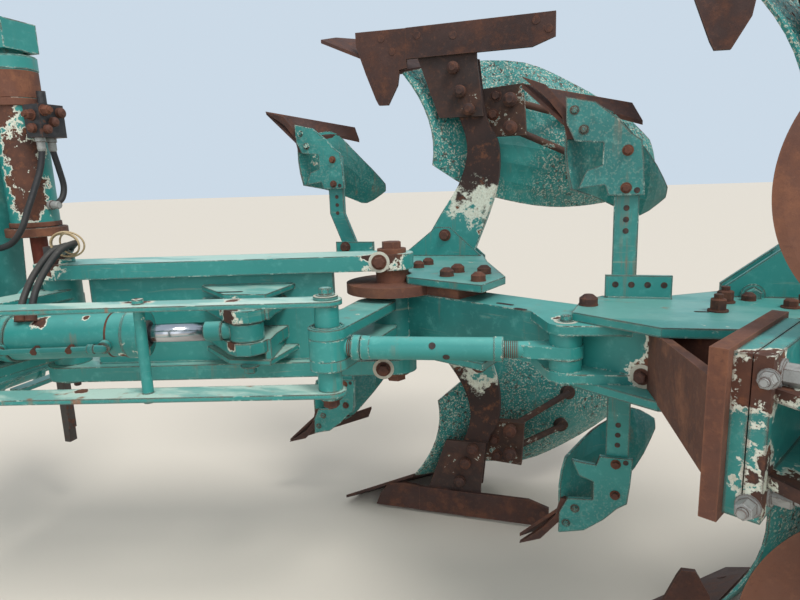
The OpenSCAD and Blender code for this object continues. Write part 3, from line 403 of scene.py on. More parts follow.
# spots: (place in the plan, reach in mm, share of the ragged edge if not 1)
paints = {
    "paintFresh": dict(chips=0.32, fadeAndTopLight=0.55, stains=0.35, deep=0.25),
    # paintBeam: its large deep share is painted shade over the beam's shaded side, and its fade share painted
    # highlight on its top
    "paintBeam": dict(chips=0.34, fadeAndTopLight=0.6, deep=0.85, spots=(
        ((-1735, 172, -44), 150, 0.12), ((-1735, 172, 0), 150, 0.12), ((-1735, 172, 44), 150, 0.12),
        ((-1440, 40, 64), 30), ((-1604, 91, -44), 30))),
    "paintFork": dict(chips=0.45, edges=1.7, stains=0.5, deep=0.2, pale=0.75, spots=(
        ((0, 50, 178), 50), ((60, 40, 150), 42), ((-935, -190, 180), 66), ((-585, 52, 50), 44),
        ((-572, 40, 14), 34), ((-590, 60, -30), 22), ((-700, 20, 60), 14), ((-900, -190, 176), 36))),
    "paintBar": dict(chips=0.50, edges=1.6, stains=0.9, deep=0.3, pale=1.0, spots=(
        ((-455, 233, 128), 34), ((-690, 185, 104), 22), ((-300, 280, -110), 20), ((46, 401, 110), 40))),
    "paintBarrel": dict(chips=0.40, edges=1.6, stains=0.6, deep=0.25, spots=(
        ((-66, 205, 58), 28), ((-120, 215, 50), 24), ((-230, 170, 55), 11), ((-330, 130, -48), 30),
        ((-400, 100, 58), 14), ((-366, 122, -45), 26))),
    "paintWorn": dict(chips=0.62, edges=1.7, stains=0.6, deep=0.4, pale=0.25),
    "paintBracket": dict(chips=0.60, edges=1.9, fadeAndTopLight=0.25, stains=0.7, deep=0.3, pale=0.2),
    # paintStalk: its large deep share is painted shade on the stalks
    "paintStalk": dict(chips=0.62, edges=1.9, fadeAndTopLight=0.3, stains=0.9, deep=0.75),
    "paintPeeled": dict(chips=1.05, edges=1.1, fadeAndTopLight=0.6, stains=0.6, deep=0.3),
    "paintTurn": dict(chips=0.85, edges=1.2, fadeAndTopLight=0.6, stains=0.7, deep=0.2, spots=(
        ((140, -40, 420), 70), ((142, -42, 500), 80), ((146, -45, 350), 60), ((200, -30, 640), 70))),
    "paintGrimy": dict(chips=0.74, edges=2.6, fadeAndTopLight=0.3, stains=1.4, deep=0.5, flecks=0.1, spots=(
        ((-1736, 484, 92), 60), ((-1760, 500, -60), 60))),
    "paintBoard": dict(chips=0.45, fadeAndTopLight=0.3, stains=0.5, flecks=0.95, bareFront=True),
    # paintSkimmer: its large deep share is painted shade on the skimmers
    "paintSkimmer": dict(chips=0.62, edges=1.6, fadeAndTopLight=0.3, stains=0.6, deep=0.8, flecks=0.15, bareFront=True),
    "paintLeg": dict(chips=0.7, fadeAndTopLight=0.4, stains=0.7, deep=0.4, bareAbove=(0.28, 0.33),
                     bareTone=("rustBlack", "rustDark")),
}
rusts = {  # base, light and dark tone
    "primerRing": ((190, 192, 178), (212, 214, 202), (140, 118, 96)),
    "rustBolt": ((86, 50, 38), (126, 78, 54), (52, 34, 30)),
    "rustShare": ((76, 48, 40), (112, 70, 50), (50, 32, 29)),
    "rustFrog": ((70, 47, 40), (104, 68, 52), (46, 33, 30)),
    "rustPlate": ((106, 66, 50), (140, 92, 66), (76, 47, 38)),
    "rustBlack": ((46, 34, 32), (84, 56, 42), (26, 22, 22)),
    "rustDisc": ((112, 72, 54), (134, 88, 64), (92, 58, 46)),
    "rustStay": ((84, 56, 44), (120, 84, 62), (52, 38, 34)),
    "redRod": ((122, 50, 38), (150, 84, 60), (84, 40, 32)),
    "twine": ((176, 156, 122), (206, 190, 158), (140, 116, 84)),
}
rustExtras = {
    "primerRing": dict(roughness=0.7), "twine": dict(roughness=0.9),
    "rustFrog": dict(paintLeft=0.25), "rustStay": dict(paintLeft=0.6),
}
rubbers = {"hoseRubber": ((27, 27, 31), 0.10), "tyreRubber": ((34, 33, 32), 0.7)}  # tone, dust
metals = {  # tone, share of rust
    # darkHole is painted shade for the inside of holes
    "zinc": ((150, 152, 150), 0.25), "darkHole": ((20, 22, 23), 0.2), "valveBlack": ((36, 35, 37), 0.55),
    "standSteel": ((52, 46, 42), 0.7),
}
materials = {name: paintedSteel(name, **settings) for name, settings in paints.items()}
for name, tones in rusts.items():
    materials[name] = rustySteel(name, *(srgb(*tone) for tone in tones), **rustExtras.get(name, {}))
for name, (tone, dusty) in rubbers.items():
    materials[name] = darkRubber(name, srgb(*tone), dusty)
for name, (tone, rustShare) in metals.items():
    materials[name] = darkMetal(name, srgb(*tone), rustShare)
materials["chrome"] = chromeRod("chrome")

finishNodes = {  # a name without a number stands for its row of nodes
    "paintFresh": "headstock hitch_frame stand_sleeves hitch_shaft turnover_shaft turnbuckle",
    "paintTurn": "turn_barrel", "redRod": "turn_rod", "valveBlack": "valve_block", "hoseRubber": "hoses",
    "standSteel": "stand_left stand_right", "paintFork": "carrier fork", "paintBar": "link_bars",
    "paintBarrel": "shift_barrel", "paintBeam": "beam", "paintBracket": "bracket", "paintLeg": "leg",
    "paintWorn": "shift_rod lever wheel_arm wheel_rim coulter_arms",
    "rustPlate": "hinge_plates hinge_pin console", "rustFrog": "frog", "paintBoard": "boards",
    "rustShare": "shares landsides", "rustStay": "stays", "paintStalk": "stalks", "paintSkimmer": "skimmers",
    "paintGrimy": "wheel_mount", "tyreRubber": "wheel_tyre", "rustDisc": "coulter_upper coulter_lower",
}
nodeFinish = {node: name for name, row in finishNodes.items() for node in row.split()}
for name, obj in nodes.items():
    key = name if name in nodeFinish else name.rsplit("_", 1)[0]
    for slot in obj.material_slots:
        slot.link = "OBJECT"
        slot.material = materials[nodeFinish[key]]
print("materials on the CAD nodes:", len(materials))

surfaces = {}


def surfaceOf(node):
    if node not in surfaces:
        mesh = nodes[node].data
        corners = [v.co for v in mesh.vertices]
        surfaces[node] = BVHTree.FromPolygons(corners, [tuple(p.vertices) for p in mesh.polygons])
    return surfaces[node]


def middleOf(node):
    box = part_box(node)
    return (Vector(box[0]) + Vector(box[1])) / 2


# the beam runs back from its reference point, and s, t and z are along it, to its left and up
beamRef = (-1559.96, -5.84)
beamDir = (-0.88312, 0.46916)
beamLeft = (0.46916, 0.88312)


def onBeam(s, t, z):
    return (*(beamRef[i] + s * beamDir[i] + t * beamLeft[i] for i in (0, 1)), z)


# body k stands one step behind the body before it; h is the height over the ground, side 1 up and -1 down
bodyRef = (-572.96, -660.84)
bodyStep = (-960, 510)


def onBody(k, x, y, h, side):
    return (bodyRef[0] + (k - 1) * bodyStep[0] + x, bodyRef[1] + (k - 1) * bodyStep[1] + y, side * (axisRise - h))


def onBracket(k, place):  # a place given for bracket 2, on bracket k
    return tuple(Vector(place) + Vector((*bodyStep, 0)) * (k - 2))


# the side shift cylinder runs back from its pin
shiftPin = Vector((60, 238, 0))
shiftDir = Vector((-0.95104, -0.30905, 0))
shiftSide = Vector((-0.30905, 0.95104, 0))
skyward = Vector((0, 0, 1))


def onShift(s, angle, radius):
    out = shiftSide * math.cos(math.radians(angle)) + skyward * math.sin(math.radians(angle))
    return tuple(shiftPin + shiftDir * s + out * radius)


def shiftPlace(x, y, z):
    return tuple(shiftPin + shiftDir * z + shiftSide * x + skyward * y)


# the turning cylinder stands on its foot and leans a little
turnFoot = (200, -106)
turnLean = math.atan2(11, 846)


def onTurn(x, y, z):
    lean, stand = math.sin(turnLean), math.cos(turnLean)
    return (turnFoot[0] + x, turnFoot[1] + y * stand + z * lean, -y * lean + z * stand)


# the fork's own axes
forkFoot = Vector((15, 0, 0))
forkTurn = math.radians(15.5)
forkDir = Vector((math.cos(forkTurn), math.sin(forkTurn), 0))
forkSide = Vector((-forkDir.y, forkDir.x, 0))


def onFork(x, y, z):
    return tuple(forkFoot + forkDir * x + forkSide * y + Vector((0, 0, z)))


class GeoBench(Bench):  # a Geometry Nodes tree with named inputs
    def __init__(self, name, **inputs):
        super().__init__(bpy.data.node_groups.new(name, "GeometryNodeTree"))
        self.tree.is_modifier = True
        face = self.tree.interface
        face.new_socket("Geometry", in_out="INPUT", socket_type="NodeSocketGeometry")
        self.named = {}
        kinds = {int: "NodeSocketInt", float: "NodeSocketFloat", type(None): "NodeSocketMaterial"}
        for key, value in {**inputs, "Finish": None}.items():
            socket = face.new_socket(key, in_out="INPUT", socket_type=kinds[type(value)])
            if value is not None:
                socket.default_value = value
            self.named[key] = socket.identifier
        face.new_socket("Geometry", in_out="OUTPUT", socket_type="NodeSocketGeometry")
        self.given = self.node("NodeGroupInput").outputs

    def attribute(self, name, kind):
        return self.node("GeometryNodeInputNamedAttribute", {"Name": name}, data_type=kind).outputs["Attribute"]

    def mesh(self, kind, **values):
        values = {key.replace("_", " "): value for key, value in values.items()}
        return self.node("GeometryNodeMesh" + kind, values).outputs["Mesh"]

    def lifted(self, geometry, height):
        offset = self.add("ShaderNodeCombineXYZ", {"Z": height})
        return self.add("GeometryNodeTransform", {"Geometry": geometry, "Translation": offset})

    def joined(self, parts):
        node = self.node("GeometryNodeJoinGeometry")
        for part in parts:
            self.join(part, node.inputs[0])
        return node.outputs[0]

    def onPoints(self, shape, rotation, **more):
        values = {"Points": self.given["Geometry"], "Instance": shape, "Rotation": rotation, **more}
        return self.add("GeometryNodeInstanceOnPoints", values)

    def close(self, geometry, smooth=False):
        real = self.add("GeometryNodeRealizeInstances", {"Geometry": geometry})
        shade = self.add("GeometryNodeSetShadeSmooth", {"Geometry": real, "Shade Smooth": smooth})
        done = self.add("GeometryNodeSetMaterial", {"Geometry": shade, "Material": self.given["Finish"]})
        self.node("NodeGroupOutput", {0: done})
        return self


def fastenerTree():  # washer, chamfered head or nut, and what stands out of it, on every point
    inputs = {"Sides": 6, "Head height": 0.62, "Chamfer": 0.07, "Washer width": 1.9, "Washer thickness": 0.14,
              "Stud width": 0.5, "Stud length": 0.0, "Seed": 3}
    b = GeoBench("fastener", **inputs)
    given = b.given
    corner = 0.577  # of a hexagon one unit across its flats
    deep = given["Washer thickness"]
    washer = b.mesh("Cylinder", Vertices=20, Radius=b.times(given["Washer width"], 0.5), Depth=deep)
    washer = b.lifted(washer, b.times(deep, 0.5))
    straight = b.minus(given["Head height"], given["Chamfer"])
    head = b.mesh("Cylinder", Vertices=given["Sides"], Radius=corner, Depth=straight)
    head = b.lifted(head, b.plus(deep, b.times(straight, 0.5)))
    narrow = b.minus(corner, b.times(given["Chamfer"], 1.2))
    cap = b.mesh("Cone", Vertices=given["Sides"], Radius_Top=narrow, Radius_Bottom=corner, Depth=given["Chamfer"])
    cap = b.lifted(cap, b.plus(deep, straight))
    standing = b.plus(given["Stud length"], given["Head height"])
    stud = b.mesh("Cylinder", Vertices=12, Radius=b.times(given["Stud width"], 0.5), Depth=standing)
    stud = b.lifted(stud, b.plus(deep, b.times(standing, 0.499)))  # its foot just inside the washer
    shape = b.joined([washer, head, cap, stud])
    upright = b.add("FunctionNodeAlignRotationToVector", {"Vector": b.attribute("axis", "FLOAT_VECTOR")}, axis="Z")
    anyTurn = b.node("FunctionNodeRandomValue", {3: math.tau, "Seed": given["Seed"]}, data_type="FLOAT")
    spin = b.add("FunctionNodeAxisAngleToRotation", {"Axis": (0, 0, 1), "Angle": anyTurn.outputs[1]})
    turned = b.add("FunctionNodeRotateRotation", {"Rotation": upright, "Rotate By": spin}, rotation_space="LOCAL")
    return b.close(b.onPoints(shape, turned, Scale=b.attribute("size", "FLOAT")))


def tubeTree():  # round section along each line of edges, as thick as the point says
    b = GeoBench("tube", Sides=14)
    line = b.add("GeometryNodeMeshToCurve", {"Mesh": b.given["Geometry"]})
    ring = b.add("GeometryNodeCurvePrimitiveCircle", {"Resolution": b.given["Sides"], "Radius": 1.0})
    values = {"Curve": line, "Profile Curve": ring, "Scale": b.attribute("thick", "FLOAT"), "Fill Caps": True}
    return b.close(b.add("GeometryNodeCurveToMesh", values), smooth=True)


def blockTree():  # a small block on every point, turned as the point says
    b = GeoBench("block", Length=0.03, Width=0.02, Height=0.01)
    size = b.add("ShaderNodeCombineXYZ", {"X": b.given["Length"], "Y": b.given["Width"], "Z": b.given["Height"]})
    turn = b.add("FunctionNodeEulerToRotation", {"Euler": b.attribute("turn", "FLOAT_VECTOR")})
    return b.close(b.onPoints(b.mesh("Cube", Size=size), turn))


trees = {"fastener": fastenerTree(), "tube": tubeTree(), "block": blockTree()}


def growPiece(name, tree, points, marks, edges=(), **inputs):  # runs a tree on points and keeps a plain mesh
    mesh = bpy.data.meshes.new(name + "Points")
    mesh.from_pydata([tuple(p) for p in points], list(edges), [])
    for key, (kind, values) in marks.items():
        data = mesh.attributes.new(key, kind, "POINT").data
        for i, value in enumerate(values):
            setattr(data[i], "vector" if kind == "FLOAT_VECTOR" else "value", value)
    source = addObject(name + "Points", mesh)
    modifier = source.modifiers.new("grow", "NODES")
    modifier.node_group = trees[tree].tree
    for key, value in inputs.items():
        modifier[trees[tree].named[key.replace("_", " ")]] = value
    bpy.context.view_layer.update()
    graph = bpy.context.evaluated_depsgraph_get()
    grown = bpy.data.meshes.new_from_object(source.evaluated_get(graph))
    source.modifiers.remove(modifier)
    bpy.data.objects.remove(source)
    grown.name = name
    for key in marks:
        if key in grown.attributes:
            grown.attributes.remove(grown.attributes[key])
    return addObject(name, grown)


def keep(piece, body):
    if body:
        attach(piece, body)
    return piece


def meshPiece(name, points, faces, finishName, body):
    mesh = bpy.data.meshes.new(name)
    mesh.from_pydata([tuple(p) for p in points], [], faces)
    bench = bmesh.new()
    bench.from_mesh(mesh)
    bmesh.ops.remove_doubles(bench, verts=bench.verts, dist=1e-6)
    bmesh.ops.recalc_face_normals(bench, faces=bench.faces)
    bench.to_mesh(mesh)
    bench.free()
    mesh.materials.append(materials[finishName])
    return keep(addObject(name, mesh), body)


# bolts, nuts, holes and worn flush heads, in shares of the width across the flats; a hole is a near-black disc of
# painted shade for its dark inside
fastenerKinds = {  # head: height, chamfer; washer: width, thickness; stud: width, length
    "rustBolt": dict(finish="rustBolt", slot="rust", head=(0.58, 0.08), washer=(1.5, 0.12)),
    "rustDome": dict(finish="rustBolt", slot="rust", sides=16, head=(0.62, 0.24), washer=(1.2, 0.08)),
    "paintBolt": dict(finish="paintWorn", slot="paint", head=(0.62, 0.07), washer=(1.75, 0.12)),
    "rustNut": dict(finish="rustBolt", slot="rust", head=(0.80, 0.08), washer=(1.4, 0.12), stud=(0.62, 0.32)),
    "zincNut": dict(finish="zinc", slot="galvanised", head=(0.9, 0.07), washer=(1.5, 0.14), stud=(0.62, 0.3)),
    "flush": dict(finish="rustShare", slot="worn", sides=20, head=(0.05, 0.03), washer=(1.0, 0.03), stud=(0.34, 0.0)),
    "chipRing": dict(finish="primerRing", slot="paint", sides=24, head=(0.012, 0.006), washer=(1.0, 0.010)),
    # hole: painted shade, a near-black disc standing for the dark inside of a hole
    "hole": dict(finish="darkHole", slot="black", sides=20, head=(0.03, 0.01), washer=(1.0, 0.02), stud=(0.3, 0.0)),
    "boss": dict(finish="paintWorn", slot="paint", sides=20, head=(0.7, 0.08), washer=(1.3, 0.2)),
}
fixings = {}
missed = []
up, down, toCamera, fromCamera = (0, 0, 1), (0, 0, -1), (0, 1, 0), (0, -1, 0)
forward, backward = (1, 0, 0), (-1, 0, 0)


def fasten(kind, node, place, axis, size, both=False, reach=0.07):  # seated where a line along axis meets the node
    for flip in ((1, -1) if both else (1,)):
        way = Vector((axis[0], axis[1], axis[2] * flip)).normalized()
        at = (place[0], place[1], place[2] * flip)
        hit, normal, *_ = surfaceOf(node).ray_cast(plan(*at) + way * reach, -way, 2 * reach)
        if hit is None:
            missed.append((kind, node, tuple(round(v) for v in at)))
            continue
        facing = normal if normal.dot(way) > 0.2 else way  # a face too steep to seat on keeps the axis
        fixings.setdefault((bodyOf[node], kind), []).append((hit, facing, size / 1000))


def chipped(kind, node, place, axis, size, ring, both=False):  # a head in a ring of bared primer
    fasten("chipRing", node, place, axis, ring, both)
    fasten(kind, node, place, axis, size, both)


def circle(count, radius, first):  # the places of a bolt circle
    angles = [math.radians(360 / count * n + first) for n in range(count)]
    return [(radius * math.cos(a), radius * math.sin(a)) for a in angles]


# beam's front bracket, its upstand and the hinge
for x, y in ((-984, -392), (-996, -462), (-1110, -237), (-1125, -312), (-1212, -166), (-1206, -290)):
    fasten("rustDome", "bracket_1", (x, y, 130), up, 34 if x < -1100 else 30, both=True)
fasten("rustBolt", "bracket_1", (-640, -640, 150), toCamera, 26, both=True)
fasten("rustBolt", "bracket_1", (-1001, -660, 187), toCamera, 28, both=True)
for z, ring in ((157, 52), (-157, 54)):
    chipped("rustBolt", "fork", (-925, -195, z), (-0.27, 0.96, 0), 29, ring)

# second and third brackets
bracketRows = (
    (-1755, -2, 30, "rustNut"), (-1786, -100, 30, "rustNut"), (-1492, -28, 36, "rustDome"),
    (-1840, -132, 26, "rustDome"), (-1905, -60, 26, "rustBolt"), (-1950, -120, 26, "rustBolt"))
for k in (2, 3):
    bracket = "bracket_%d" % k
    for x, y, size, kind in bracketRows:
        fasten(kind, bracket, onBracket(k, (x, y, 100)), up, size, both=True)
    for x in (-1552, -1588, -1624, -1660):
        fasten("hole", bracket, onBracket(k, (x, -115, 118)), toCamera, 13, both=True)
chipped("rustBolt", "beam", (-1604, 91, -40), (0.47, 0.88, 0), 24, 46)

# bolts of the fork, links, lever and turnbuckle
chipped("paintBolt", "lever", (-909, 136, 128), up, 26, 50)
fasten("rustBolt", "lever", (-909, 136, -128), down, 34)
fasten("paintBolt", "carrier", (46, 401, 126), up, 34, both=True)
for x, y in circle(3, 26, 20):
    fasten("rustBolt", "carrier", (15 + x, y, 190), up, 18, both=True)
fasten("paintBolt", "fork", (-617, 18, -61), down, 30)
fasten("hole", "turnbuckle", (-1159, 124, 13), (-0.12, 0.85, 0.52), 14)
fasten("hole", "turnbuckle", (-1190, 119, -13), (-0.12, 0.85, -0.52), 14)
chipped("paintBolt", "beam", (-1446, 58, 80), up, 20, 44, both=True)
fasten("hole", "lever", (-918, 168, 50), up, 12)
for x, y in ((-1060, -244), (-1130, -206)):
    fasten("rustBolt", "hinge_plates", (x, y, 100), up, 26, both=True)

# wheel mount, its pivot, the wheel's nuts and hub
for t in (112, 305):
    for z in (-92, 92):
        fasten("zincNut", "wheel_mount", onBeam(410, t, z), (*beamDir, 0), 30)
for place, size in (((-1725, 478, -102), 24), ((-1736, 484, 95), 20)):
    fasten("zincNut", "wheel_mount", place, (0.47, 0.88, 0), size)
for x, z in circle(3, 28, 90):
    fasten("rustBolt", "wheel_mount", (-1981.1 + x, 780.4, z), toCamera, 20)
hub = toPlan(middleOf("wheel_rim"))
for x, z in circle(5, 86, 36):
    fasten("rustNut", "wheel_rim", (hub.x + x, hub.y + 60, hub.z + z), toCamera, 24)
    fasten("rustBolt", "wheel_rim", (hub.x + x, hub.y - 60, hub.z + z), fromCamera, 22)
fasten("boss", "wheel_arm", (hub.x, hub.y + 60, hub.z), toCamera, 44)

# coulter hubs
for side, disc in ((1, "coulter_upper"), (-1, "coulter_lower")):
    hub = toPlan(middleOf(disc))
    for x, z in circle(5, 68, 15):
        for way in (1, -1):
            fasten("rustBolt", disc, (hub.x + x, hub.y + 30 * way, hub.z + z), (0, way, 0), 19)
    fasten("rustBolt", "coulter_arms", (hub.x, hub.y + 60, hub.z), toCamera, 34)
    for dx in (-30, 30):
        fasten("rustBolt", "coulter_arms", (hub.x + dx, hub.y - 150, 100 * side), (0, 0, side), 28)

# what holds each body together
shareUnder = ((-120, -75), (-205, -150), (-290, -225), (-365, -300))
boardHeads = ((-345, 215), (-365, 300), (-388, 380), (-430, 190), (-470, 440), (-520, 235))
skimmerHeads = (
    (-35, 543, "rustBolt", 17), (-36, 458, "rustBolt", 17), (62, 407, "paintBolt", 14), (84, 362, "paintBolt", 13),
    (-59, 549, "hole", 12))
for k in (1, 2, 3):
    first = k == 1  # the first body's skimmers sit lower and further forward
    for side in (1, -1):
        def onThis(kind, node, x, y, h, axis, size, reach=0.07):
            fasten(kind, "%s_%d" % (node, k), onBody(k, x, y, h, side), axis, size, reach=reach)

        for x, h in ((-470, 150), (-492, 226), (-520, 285)):
            onThis("rustDome", "frog", x, 0, h, toCamera, 34)
            onThis("rustNut", "frog", x, -90, h, fromCamera, 28)
        for x, h in ((-350, 38), (-472, 50), (-737, 32), (-776, 60)):
            onThis("flush", "landsides", x, 0, h, toCamera, 22)
        for x, h in ((-224, 38), (-262, 82)):
            onThis("flush", "shares", x, 0, h, toCamera, 20)
        for x, y in shareUnder:
            onThis("flush", "shares", x, y, 70, (0, 0, -side), 24)
        for x, h in boardHeads:
            onThis("flush", "boards", x, -160, h, (0.45, -0.89, 0), 26, reach=0.3)
        for h in (258, 348):
            onThis("rustDome", "stays", -650, -50, h, toCamera, 40)
        for x, h in ((-590, 300), (-600, 240)):
            onThis("rustBolt", "stays", x, -60, h, toCamera, 26)
        for x, h, kind, size in skimmerHeads:
            onThis(kind, "skimmers", x + 2 * first, 24, h - 30 * first, toCamera, size)
        for h in ((559, 588, 617) if first else (590, 617, 644)):
            onThis("hole", "stalks", -38, 12, h, toCamera, 12)
        for x in (-322, -480):
            for z in (48, 92):
                onThis("paintBolt" if k == 2 else "rustBolt", "bracket", x, -20, axisRise - z, toCamera, 30)
        for x in (-330, -480):
            onThis("rustNut", "bracket", x, -120, axisRise - 60, fromCamera, 28)

# headstock, bearing, hitch and stands
for y in (-190, 190):
    for z in (-180, -120):
        fasten("paintBolt", "headstock", (280, y, z), backward, 30)
        fasten("paintBolt", "headstock", (340, y, z), forward, 30)
for (y, z), (shaftY, shaftZ) in zip(circle(6, 92, 30), circle(6, 66, 30)):
    fasten("paintBolt", "carrier", (90, y, z), backward, 24)
    fasten("paintBolt", "turnover_shaft", (505, shaftY, shaftZ), forward, 18)
for way in (1, -1):
    for z in (-250, -190):
        fasten("rustBolt", "hitch_frame", (560, 150 * way, z), (0, way, 0), 28)
    fasten("hole", "headstock", (560, 45 * way, 330), (0, way, 0), 32)
    fasten("hole", "hitch_shaft", (660, 490 * way, -330), up, 12)
for y in (355, -355):
    fasten("paintBolt", "stand_sleeves", (500, y, -300), forward, 20)
    fasten("paintBolt", "stand_sleeves", (440, y, -300), backward, 20)

# valve block plugs
plugs = ((-28, 618, "rustDome", 26), (0, 590, "rustDome", 24), (28, 622, "rustNut", 24), (26, 568, "rustDome", 22))
for y, z, kind, size in plugs:
    fasten(kind, "valve_block", onTurn(-140, y, z), backward, size)
for z, kind in ((610, "rustNut"), (572, "rustDome")):
    fasten(kind, "valve_block", onTurn(-100, 52, z), toCamera, 24)

for (body, kind), rows in fixings.items():
    settings = fastenerKinds[kind]
    studWidth, studLength = settings.get("stud", (0.5, 0.0))
    places, ways, sizes = zip(*rows)
    piece = growPiece(
        "%s_%s" % (kind, body), "fastener", places, {"axis": ("FLOAT_VECTOR", ways), "size": ("FLOAT", sizes)},
        Sides=settings.get("sides", 6), Head_height=settings["head"][0], Chamfer=settings["head"][1],
        Washer_width=settings["washer"][0], Washer_thickness=settings["washer"][1],
        Stud_width=studWidth, Stud_length=studLength, Finish=materials[settings["finish"]])
    keep(piece, body)
print("fasteners:", sum(len(rows) for rows in fixings.values()), "in", len(fixings), "pieces; not seated:", missed)


def smoothLine(points, steps=6):  # a curve through the points
    out = []
    last = len(points) - 1
    for i in range(last):
        a, b, c, d = (Vector(points[min(max(j, 0), last)]) for j in (i - 1, i, i + 1, i + 2))
        for n in range(steps):
            u = n / steps
            bend = (2 * a - 5 * b + 4 * c - d) * u * u
            out.append(0.5 * (2 * b + (c - a) * u + bend + (3 * b - a - 3 * c + d) * u ** 3))
    out.append(Vector(points[-1]))
    return out


def tubePiece(name, lines, body, finishName, sides=14):  # lines: points and radius or radii, in mm
    points, edges, thick = [], [], []
    for line, radius in lines:
        start = len(points)
        radii = radius if isinstance(radius, (list, tuple)) else [radius] * len(line)
        points += [plan(*p) for p in line]
        thick += [r / 1000 for r in radii]
        edges += [(start + i, start + i + 1) for i in range(len(line) - 1)]
    marks = {"thick": ("FLOAT", thick)}
    piece = growPiece(name, "tube", points, marks, edges, Sides=sides, Finish=materials[finishName])
    return keep(piece, body)


def thread(start, end, radius, pitch=4.0):  # a bar whose radius rises and falls at each turn
    start, end = Vector(start), Vector(end)
    count = max(4, int((end - start).length / pitch * 2))
    points = [start.lerp(end, i / count) for i in range(count + 1)]
    return points, [radius * (1.0 if i % 2 else 0.9) for i in range(count + 1)]


def bead(points, radius, seed):  # a weld bead: a line with lumps
    line, radii = [], []
    for a, b in zip(points[:-1], points[1:]):
        count = max(2, int((b - a).length / 5))
        for i in range(count):
            line.append(a.lerp(b, i / count))
            chance = (math.sin(seed * 12.9898 + len(line) * 78.233) * 43758.5453) % 1
            radii.append(radius * (0.86 + 0.28 * chance))
    return line, radii


# pressure hoses from the valve block, with a crimped fitting at each end
hoses = {
    "radius": 9.2,
    "crimpLength": 34,
    "crimpRadius": 12.2,
    "neckLength": 6,
    "neckRadius": 9.6,
    "nutLength": 12,
    "nutRadius": 15,
    "port": [(-95, -18, 544.4), (-95, -18, 525), (-95, -18, 505), (-95, -30, 450), (-93, -40, 400),
             (-92, -30, 365), (-90, -8, 347), (-84, 0, 343), (-71, 0, 343)],
    "tower": [(100, -72, 544.4), (100, -72, 525), (100, -72, 505), (102, -58, 450), (106, -30, 390),
              (110, 0, 330), (118, 20, 280), (150, 30, 240), (200, 32, 222), (250, 32, 220), (299.6, 32, 220)],
}
port = smoothLine([onTurn(*p) for p in hoses["port"]])
tower = smoothLine(hoses["tower"])
hoseLines = [(line, hoses["radius"]) for line in (port, tower)]
hosePiece = tubePiece("pressureHoses", hoseLines, bodyOf["hoses"], "hoseRubber")
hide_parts("hoses")
fittings = []
for line in (port, tower):
    for tip, inside in ((line[0], line[5]), (line[-1], line[-4])):
        way = (inside - tip).normalized()
        crimpEnd = tip + way * hoses["crimpLength"]
        neckEnd = tip + way * (hoses["crimpLength"] + hoses["neckLength"])
        fittings += [([tip + way * 0.5, crimpEnd], hoses["crimpRadius"]),
                     ([crimpEnd, neckEnd], [hoses["crimpRadius"], hoses["neckRadius"]]),
                     ([tip + way * 0.2, tip + way * hoses["nutLength"]], hoses["nutRadius"])]
tubePiece("hoseFittings", fittings, bodyOf["hoses"], "zinc", 12)

# pair of hoses from a block on the front pin to the side shift cylinder, running in a curve between their two bodies
feed = {
    "radius": 9.0,
    "routes": [
        [(-10, 13, 208), (-40, 22, 224), (-78, 60, 232), (-78, 112, 218), (-66, 160, 168), (-66, 196, 122),
         (-71, 220, 86), (-75, 229, 66)],
        [(-10, -11, 208), (-52, 6, 228), (-102, 52, 238), (-106, 106, 224), (-96, 154, 174), (-94, 188, 128),
         (-98, 210, 88), (-101, 219, 66)]],
    "bendStart": (-78, 60, 232),
    "bendEnd": (-71, 220, 86),
    "headLength": 24,
    "headRadius": 12.0,
    "port": ((-26, -2, 12.0), (-2, 14, 15.5)),  # neck and nut: from and to past the hose's tip, radius
}
turning, swinging = bodyOf["carrier"], bodyOf["shift_barrel"]
feedHeads = []
for n, route in enumerate(feed["routes"]):
    line = smoothLine(route)
    hose = tubePiece("feedHose_%d" % (n + 1), [(line, feed["radius"])], None, "hoseRubber")
    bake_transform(hose)
    tip = line[-1]
    way = (tip - line[-4]).normalized()
    portLines = [([tip + way * near, tip + way * far], radius) for near, far, radius in feed["port"]]
    tubePiece("feedPort_%d" % (n + 1), portLines, swinging, "rustBolt", 6)
    head, after = Vector(route[0]), Vector(route[1])
    feedHeads.append(([head, head + (after - head).normalized() * feed["headLength"]], feed["headRadius"]))
tubePiece("feedHeads", feedHeads, turning, "zinc", 6)

# loops of twine round the pair
twine = {"radius": 2.6, "middle": (-66, 48, 233), "step": (-8, 0, 2), "loops": ((0.2, 33), (0.45, 36), (-0.1, 30))}
fullTurn = [math.tau * i / 36 for i in range(37)]
twineLoops = []
for n, (tilt, radius) in enumerate(twine["loops"]):
    middle = Vector(twine["middle"]) + Vector(twine["step"]) * n
    side, rise = Vector((math.cos(tilt), math.sin(tilt), 0)), Vector((0, 0.15, 1))
    loop = [middle + side * radius * 1.25 * math.cos(a) + rise * radius * math.sin(a) for a in fullTurn]
    twineLoops.append((loop, twine["radius"]))
tubePiece("twineLoops", twineLoops, turning, "twine", 8)
print("hoses and fittings made")


def lathe(name, profile, place, node, finishName):  # profile of (radius, height) about a cylinder's axis
    steps, count = 56, len(profile)
    points, faces = [], []
    for n in range(steps):
        angle = math.tau * n / steps
        points += [plan(*place(r * math.cos(angle), r * math.sin(angle), z)) for r, z in profile]
    for n in range(steps):
        here, there = n * count, (n + 1) % steps * count
        for i in range(count):
            j = (i + 1) % count
            faces.append((here + i, there + i, there + j, here + j))
    return meshPiece(name, points, faces, finishName, bodyOf[node])


